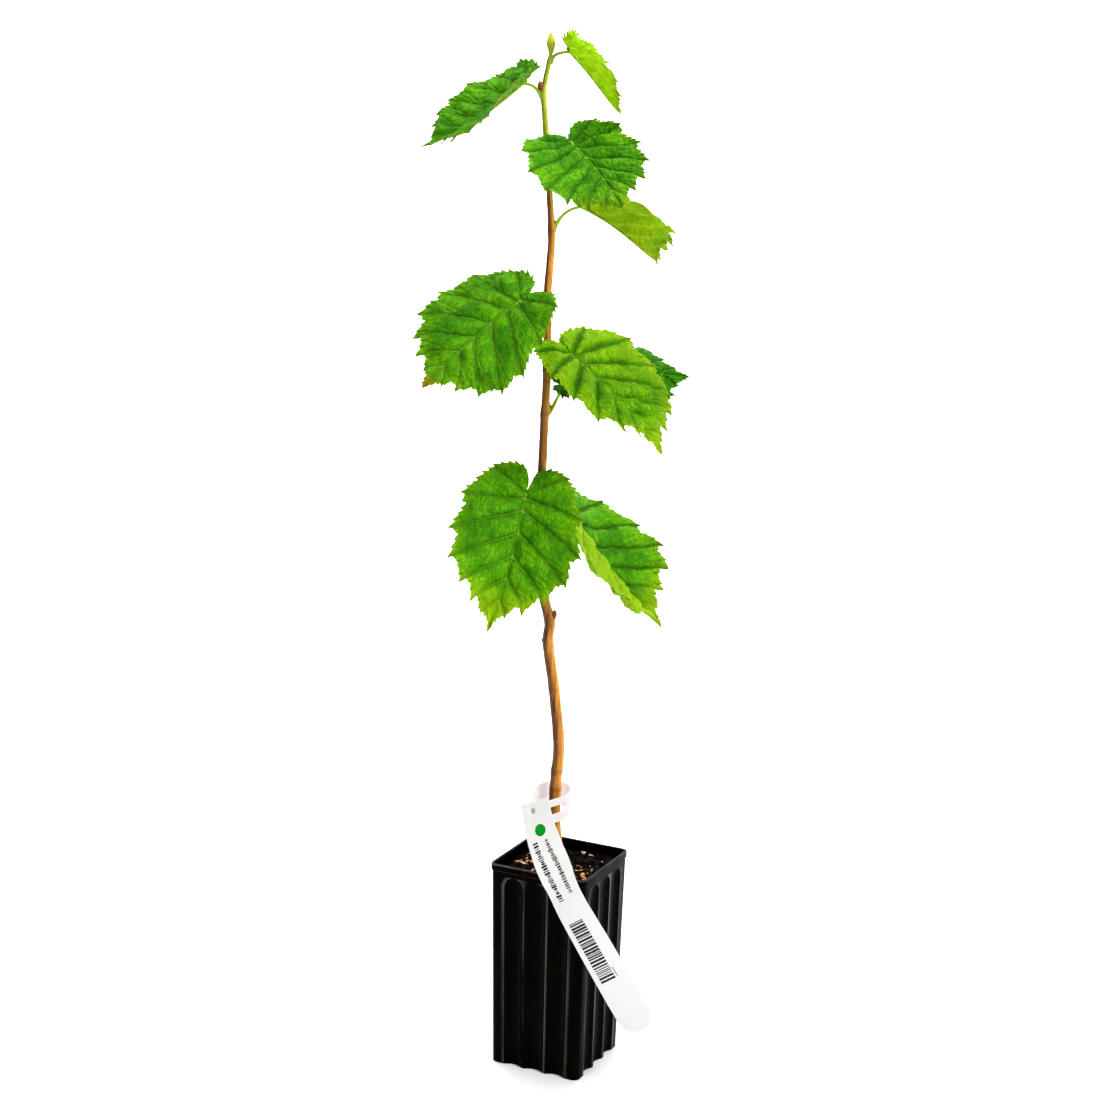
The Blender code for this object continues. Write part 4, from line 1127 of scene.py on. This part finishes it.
def make_buds(brown, green):
    """The end bud and the side buds, in two pieces by colour."""
    dark = Shell()
    pale = Shell()
    places = [(height, radial(heading), length) for height, heading, length in BARE_BUDS]
    places += [(leaf.node + AXIL_RISE, stalk_way(leaf), leaf.bud) for leaf in LEAVES if leaf.bud]
    for index, (height, out, length) in enumerate(places):
        axis = raised(out, BUD_RISE)
        base = stem_centre(height) + out * stem_radius(height) * BUD_SINK
        make_bud(dark, base, axis, length, length * BUD_SLIMNESS, BUD_PROFILE, 5, spin=index)
    top = stem_centre(STEM_TOP) - (0, 0, END_BUD_SINK)
    lean = unit(np.array(END_BUD_LEAN))
    make_bud(pale, top, lean, END_BUD_LENGTH, END_BUD_WIDTH, END_BUD_PROFILE, 4)
    settle(dark.build("side_buds", [brown]), "bark")
    settle(pale.build("end_bud", [green]), "bark")


# ---------------------------------------------------------------- pot and soil

def half_side(height):
    return np.interp(height, (0.0, POT_HEIGHT), (POT_BASE_HALF, POT_RIM_HALF))


def flute_shape(height):
    """Width and depth of a flute at a height, as shares of its full size."""
    if height <= FLUTE_SPRING:
        return 1.0, 1.0
    rise = min((height - FLUTE_SPRING) / (FLUTE_CROWN - FLUTE_SPRING), 0.999)
    width = math.sqrt(1.0 - rise ** 2)
    return width, 0.0 if height >= FLUTE_CROWN else width


def crests():
    """For each point of the pot's outline, how strong its painted highlight is: the edges of the
    flutes have one.
    """
    side = [0.0] * CORNER_POINTS
    for first, last in CREST_HIGHLIGHT:
        side += [first] + [0.0] * (FLUTE_POINTS - 2) + [last]
    return [share * value for share in SIDE_HIGHLIGHT for value in side]


def section(height, inset, flute_points=FLUTE_POINTS, corner_points=CORNER_POINTS):
    """The pot's outline at a height, moved inwards by an inset."""
    half = half_side(height) - inset
    if inset < POT_WALL / 2:
        half += LIP_REACH * np.interp(height, (LIP_FOOT - LIP_EASE, LIP_FOOT), (0.0, 1.0))
    corner = max(POT_CORNER - inset, 0.5 * POT_CORNER)
    spread, depth = flute_shape(height)
    depth *= FLUTE_DEPTH * (1.0 if inset < POT_WALL / 2 else INNER_FLUTE)
    outline = []
    for quarter in range(4):
        cosine, sine = (1, 0, -1, 0)[quarter], (0, 1, 0, -1)[quarter]
        side = []
        for step in range(corner_points):
            angle = math.radians(180 + 90 * (step + 0.5) / corner_points)
            side.append((-half + corner + corner * math.cos(angle),
                         -half + corner + corner * math.sin(angle)))
        for start, end in zip(FLUTE_STARTS, FLUTE_ENDS):
            middle = (start + end - 1) * half
            reach = (end - start) * half * max(spread, 0.03)
            for step in range(flute_points):
                t = 2 * step / (flute_points - 1) - 1
                side.append((middle + t * reach, -half + depth * (1 - t ** 2)))
        outline += [(cosine * x - sine * y, sine * x + cosine * y, height) for x, y in side]
    return outline


def pot_heights(low, high):
    """Heights of the pot's loops, finer where the flutes arch."""
    arch = FLUTE_CROWN - FLUTE_SPRING
    levels = [FLUTE_SPRING + arch * math.sin(math.pi / 2 * step / 12) for step in range(13)]
    levels += list(np.linspace(0.01, FLUTE_SPRING - 0.004, 14))
    levels += list(LIP_FOOT - LIP_EASE * np.linspace(0.0, 1.0, 4))
    levels += [LIP_FOOT + LIP_EASE, POT_HEIGHT - 2 * LIP_EASE]
    near = 0.0002
    return [low] + sorted(height for height in levels if low + near < height < high - near) + [high]


def make_pot(finish):
    """The fluted pot with its lip, wall and drain holes."""
    outer = [section(height, 0.0) for height in pot_heights(POT_EDGE, POT_HEIGHT - POT_EDGE)]
    inner = [section(height, POT_WALL) for height in pot_heights(POT_FLOOR, POT_HEIGHT - POT_EDGE)]
    foot = [(x, y, 0.0) for x, y, z in section(0.0, POT_EDGE)]
    lip = []
    for inset, drop in ((0.00007, 0.0003), (0.00025, 0.0), (POT_WALL - 0.00025, 0.0),
                        (POT_WALL - 0.00007, 0.0003)):
        lip.append([(x, y, POT_HEIGHT - drop) for x, y, z in section(POT_HEIGHT, inset)])
    loops = [foot] + outer + lip + inner[::-1]
    count = len(foot)
    pot = new_mesh("pot_fine", np.vstack(loops), tube_faces(len(loops), count), [finish], smooth=32)
    # Painted highlights on the flute edges below the crowns and on the lip
    highlit = np.zeros((len(loops), count))
    for row, loop in enumerate(outer, start=1):
        highlit[row] = crests() if loop[0][2] < FLUTE_CROWN else 0.0
        if abs(loop[0][2] - LIP_FOOT) < 0.0001:
            highlit[row] = LIP_HIGHLIGHT
    highlit[len(outer):3 + len(outer)] = LIP_HIGHLIGHT
    store(pot, "painted_highlight", highlit.ravel())
    drill = Shell()
    for index in range(DRAINS):
        centre = radial(index * 360 / DRAINS) * DRAIN_REACHES[index % 2]
        drill.add(*tube([centre + (0, 0, -0.003), centre + (0, 0, 0.005)], (DRAIN_RADIUS,) * 2, 24))
    cut(pot, drill.build("drill", []))
    settle(pot, "pot", "pot", in_plant=False)


def soil_height(x, y):
    """Height of the compost: level, with small lumps away from the stem."""
    spot = np.stack([x, y], -1).reshape(-1, 2)
    lumps = ripples(spot, 0.011, 61, 10) * 0.0006 + ripples(spot, 0.0035, 62, 16) * 0.00035
    away = smooth_step(np.linalg.norm(spot, axis=1), 0.006, 0.014)
    return SOIL_TOP - 0.0004 + (lumps * (0.3 + 0.7 * away)).reshape(np.shape(x))


def make_soil(finish):
    """The compost: an uneven top and a side that hides inside the pot."""
    inset = POT_WALL + 2 * GAP
    low = [np.array(section(height, inset, 5, 3)) for height in (POT_FLOOR + GAP, FLUTE_SPRING)]
    rim = np.array(section(SOIL_TOP - 0.0012, inset, 5, 3))
    loops = low + [rim]
    for share in np.linspace(1.0, 0.02, int(60 * DETAIL)):
        ring = rim * (share, share, 1.0)
        ring[:, 2] = soil_height(ring[:, 0], ring[:, 1])
        loops.append(ring)
    faces = tube_faces(len(loops), len(rim))
    soil = new_mesh("compost_fine", np.vstack(loops), faces, [finish], smooth=70)
    settle(soil, "soil", "soil", in_plant=False)


def chip(shell, rng, centre, size, flat, shade):
    """One irregular chip: a squashed, jittered block with bevelled ends."""
    basis = Matrix.Rotation(rng.uniform(0, math.tau), 3, "Z") @ Matrix.Rotation(
        rng.uniform(-CHIP_TILT, CHIP_TILT), 3, "X") @ Matrix.Rotation(
        rng.uniform(-CHIP_TILT, CHIP_TILT), 3, "Y")
    loops = []
    for along, girth in CHIP_LOOPS:
        for corner in range(CHIP_SIDES):
            angle = corner * math.tau / CHIP_SIDES + rng.uniform(-0.25, 0.25)
            wide = girth * rng.uniform(0.75, 1.15)
            point = Vector((along * size * rng.uniform(0.92, 1.08),
                            math.cos(angle) * wide * size * 0.5,
                            math.sin(angle) * wide * size * flat))
            loops.append(basis @ point + Vector(centre))
    shell.add(np.array(loops), tube_faces(len(CHIP_LOOPS), CHIP_SIDES), value=shade)


def make_chips(*finishes):
    """Bark chips, a few bright ones and white grit on the compost."""
    rng = random.Random(CHIP_SEED)
    limit = half_side(SOIL_TOP) - POT_WALL - 0.003
    for finish, (name, count, small, large, flat, heaps) in zip(finishes, CHIPS):
        shell = Shell()
        while count:
            *heap, spread = rng.choice(heaps)
            x, y = (middle + rng.gauss(0.0, spread) if spread < 1 else rng.uniform(-limit, limit)
                    for middle in heap)
            if max(abs(x), abs(y)) > limit or math.hypot(x + 0.001, y) < 0.009:
                continue
            count -= 1
            size = rng.uniform(small, large)
            ground = float(soil_height(np.array(x), np.array(y)))
            lift = ground + size * flat * rng.uniform(0.1, 0.9)
            chip(shell, rng, (x, y, lift), size, flat, rng.random())
        settle(shell.build(name, [finish], smooth=35), "soil", in_plant=False)


# ---------------------------------------------------------------- tag

class Strip:
    """A flat band along a path: gives points by distance along and across it."""

    def __init__(self, centres, laterals):
        self.centres = centres
        self.arc = np.insert(np.cumsum(np.linalg.norm(np.diff(centres, axis=0), axis=1)), 0, 0.0)
        tangents = unit_rows(np.gradient(centres, axis=0))
        along = np.sum(laterals * tangents, axis=1, keepdims=True)
        self.sides = unit_rows(laterals - tangents * along)
        self.faces = unit_rows(np.cross(tangents, self.sides))

    def at(self, along, across, lift):
        """Points at distances along the band, across it and above its middle."""
        along, across, lift = np.broadcast_arrays(along, across, lift)
        pick = [np.stack([np.interp(along, self.arc, table[:, axis]) for axis in range(3)], -1)
                for table in (self.centres, self.sides, self.faces)]
        return pick[0] + pick[1] * across[..., None] + pick[2] * lift[..., None]


def band_solid(strip, shell, stations, low_edges, high_edges):
    """A band of film between two edges, with a softened rim."""
    half = TAG_FILM / 2
    rows = []
    for station, low, high in zip(stations, low_edges, high_edges):
        soft = min(0.3 * TAG_FILM, (high - low) / 4)
        flat = np.linspace(low + soft, high - soft, 10)[1:-1]
        back = np.linspace(high - soft, low + soft, 10)[1:-1]
        rise = [half - soft, half]
        across = np.concatenate([[low, low + soft], flat, [high - soft, high, high, high - soft],
                                 back, [low + soft, low]])
        lift = np.concatenate([rise, np.full(8, half), rise[::-1], [soft - half, -half],
                               np.full(8, -half), [-half, soft - half]])
        rows.append(strip.at(np.full(len(across), station), across, lift))
    shell.add(np.vstack(rows), tube_faces(len(rows), len(rows[0])))


def patch(strip, shell, along, across):
    """A printed mark: a thin patch over a rectangle of the band."""
    grid = np.meshgrid(np.linspace(*along, 4), np.linspace(*across, 3), indexing="ij")
    points = strip.at(*grid, PRINT_LEVEL).reshape(-1, 3)
    shell.add(points, grid_faces(4, 3).tolist())


def round_mark(strip, along, across, radius, lift, name, finish):
    """A thin disc that lies on the band."""
    disc = Shell()
    forward, aside = np.sin(circle(48)), np.cos(circle(48))
    rings = [strip.at(along + r * radius * forward, across + r * radius * aside, lift)
             for r in (1.0, 0.6, 0.05)]
    disc.add(np.vstack(rings), grid_faces(3, 48, around=True).tolist() + [list(range(96, 144))])
    return disc.build(name, [finish], smooth=0)


def make_tag(white, ink, dot, grey):
    """The hanging strip with its eyelet, a dot and rows of plain dashes for print."""
    path = spline(TAG_STRIP, 8)
    laterals = np.array([radial(-yaw) for yaw in path[:, 3]])
    strip = Strip(path[:, :3], laterals)
    length = strip.arc[-1]
    rounding = np.sin(np.radians(np.linspace(0.0, 89.0, 24)))
    stations = np.concatenate([np.linspace(0.0, length - TAG_HALF - 0.001, 90),
                               length - TAG_HALF * (1 - rounding)])
    past = np.clip((stations - length + TAG_HALF) / TAG_HALF, 0.0, 1.0)
    halves = TAG_HALF * np.sqrt(1 - past ** 2)
    shell = Shell()
    band_solid(strip, shell, stations, -halves, halves)
    tag = shell.build("tag_strip", [white], smooth=40)
    hole = [strip.at(EYELET_ALONG, EYELET_ACROSS, lift) for lift in (0.0, 0.001)]
    punch = Shell()
    punch.add(*tube(hole, (EYELET_RADIUS,) * 2, 40))
    cut(tag, punch.build("punch", []))
    settle(tag, "tag", "tag")
    settle(round_mark(strip, EYELET_ALONG, EYELET_ACROSS, EYELET_RADIUS * 0.98, 0.00003,
                      "tag_eyelet", grey), "tag")
    marks = Shell()
    rng = random.Random(PRINT_SEED)
    for start, across, end, last, size in PRINT_LINES:
        place = start
        while place < end:
            run = size * rng.uniform(*STROKE_RUN)
            tall = size * rng.uniform(*STROKE_TALL)
            middle = across + (last - across) * (place - start) / (end - start)
            stroke = (middle - tall, middle + tall * 0.7)
            patch(strip, marks, (place, min(place + run, end)), stroke)
            place += run + size * rng.uniform(*STROKE_GAP)
    rng = random.Random(BAR_SEED)
    place = BARS[0]
    while place < BARS[1]:
        run = rng.choice(BAR_RUNS)
        patch(strip, marks, (place, place + run), BARS[2:])
        place += run + rng.choice(BAR_GAPS)
    settle(marks.build("tag_marks", [ink], smooth=0), "tag")
    settle(round_mark(strip, DOT_ALONG, 0.0, DOT_RADIUS, PRINT_LEVEL, "tag_dot", dot), "tag")


def make_loop(white):
    """The band round the stem, slotted in front where two straps cross it."""
    centres = spline(LOOP_PATH, 10)
    strip = Strip(centres, np.tile((0.0, 0.0, 1.0), (len(centres), 1)))
    stations = np.linspace(0.0, strip.arc[-1], 110)
    slot_end = int(LOOP_SLOT[0] * len(stations))
    shell = Shell()
    for part, low, high in ((stations[slot_end:], -LOOP_HALF, LOOP_HALF),
                            (stations[:slot_end + 1], -LOOP_HALF, LOOP_SLOT[1]),
                            (stations[:slot_end + 1], LOOP_SLOT[2], LOOP_HALF)):
        band_solid(strip, shell, part, np.full(len(part), low), np.full(len(part), high))
    settle(shell.build("tag_loop_fine", [white], smooth=40), "tag", "tag_loop")


# ---------------------------------------------------------------- stage

def make_stage():
    """A pale floor that runs up into a pale wall, soft lights and the camera."""
    n = Nodes("floor_pale")
    tone = n.noise(n.place(), 3.0, 3.0)
    pale = n.mix(tone, (0.90, 0.90, 0.90), (0.93, 0.93, 0.93))
    floor_finish = n.finish(Base_Color=pale, Roughness=0.9)
    bend_start = FLOOR_DEPTH - FLOOR_CURVE
    profile = [(-FLOOR_DEPTH, 0.0), (bend_start, 0.0)]
    profile += [(bend_start + FLOOR_CURVE * math.sin(a), FLOOR_CURVE - FLOOR_CURVE * math.cos(a))
                for a in np.linspace(0.1, math.pi / 2, 12)]
    profile.append((FLOOR_DEPTH, WALL_HEIGHT))
    points = [(x, y, z) for y, z in profile for x in (-FLOOR_HALF_WIDTH, FLOOR_HALF_WIDTH)]
    floor = new_mesh("floor", points, grid_faces(len(profile), 2), [floor_finish], smooth=0)
    floor.rotation_euler.z = PLANT_TURN

    world = bpy.data.worlds.new("studio")
    bpy.context.scene.world = world
    world.use_nodes = True
    sky = world.node_tree.nodes["Background"].inputs
    sky["Color"].default_value = (1.0, 1.0, 1.0, 1.0)
    sky["Strength"].default_value = WORLD_LIGHT
    turn = Matrix.Rotation(PLANT_TURN, 4, "Z")
    for name, place, target, size, power in LIGHTS:
        light = bpy.data.lights.new(name, "AREA")
        light.energy = power
        light.size = size
        lamp = bpy.data.objects.new(name, light)
        lamp.location = turn @ Vector(place)
        aim = turn @ Vector(target) - lamp.location
        lamp.rotation_euler = aim.to_track_quat("-Z", "Y").to_euler()
        bpy.context.scene.collection.objects.link(lamp)

    back = Vector((0.0, -math.cos(CAMERA_RISE), math.sin(CAMERA_RISE)))
    right = Vector((1.0, 0.0, 0.0))
    up = back.cross(right)
    across = math.cos(CAMERA_ROLL) * right + math.sin(CAMERA_ROLL) * up
    upright = math.cos(CAMERA_ROLL) * up - math.sin(CAMERA_ROLL) * right
    place = Vector((CAMERA_ACROSS, 0.0, CAMERA_LOOK_HEIGHT)) + back * CAMERA_DISTANCE
    pose = Matrix((across, upright, back)).transposed().to_4x4()
    pose.translation = place
    lens = bpy.data.cameras.new("view")
    lens.lens = CAMERA_LENS
    lens.sensor_width = SENSOR
    lens.sensor_fit = "HORIZONTAL"
    camera = bpy.data.objects.new("view", lens)
    camera.matrix_world = turn @ pose
    bpy.context.scene.collection.objects.link(camera)
    bpy.context.scene.camera = camera
    bpy.context.scene.view_settings.view_transform = "Standard"


def main():
    make_stage()
    stalk = stalk_finish()
    for number, leaf in enumerate(LEAVES, start=1):
        leaf_mesh(leaf, number, leaf_finish(leaf, number), stalk)
    make_trunk(bark_finish())
    make_lenticels(lenticel_finish())
    make_buds(bud_finish("bud_brown", (0.14, 0.026, 0.005), (0.34, 0.10, 0.022)),
              bud_finish("bud_green", (0.30, 0.34, 0.012), (0.55, 0.56, 0.03)))
    make_pot(pot_finish())
    make_soil(soil_finish())
    make_chips(chip_finish("chip_dark", (0.0012, 0.0006, 0.0004), (0.018, 0.008, 0.0035)),
               chip_finish("chip_bright", (0.30, 0.12, 0.030), (0.85, 0.46, 0.16)),
               chip_finish("grit_white", (0.45, 0.41, 0.35), (0.85, 0.82, 0.76)))
    make_tag(tag_finish("tag_white", 0.16),
             ink_finish("ink_grey", (0.012, 0.011, 0.010), (0.09, 0.085, 0.08)),
             ink_finish("dot_green", (0.0030, 0.265, 0.014), (0.006, 0.32, 0.022)),
             ink_finish("eyelet_grey", (0.40, 0.375, 0.32), (0.50, 0.47, 0.41)))
    make_loop(tag_finish("tag_film", 0.5))


main()
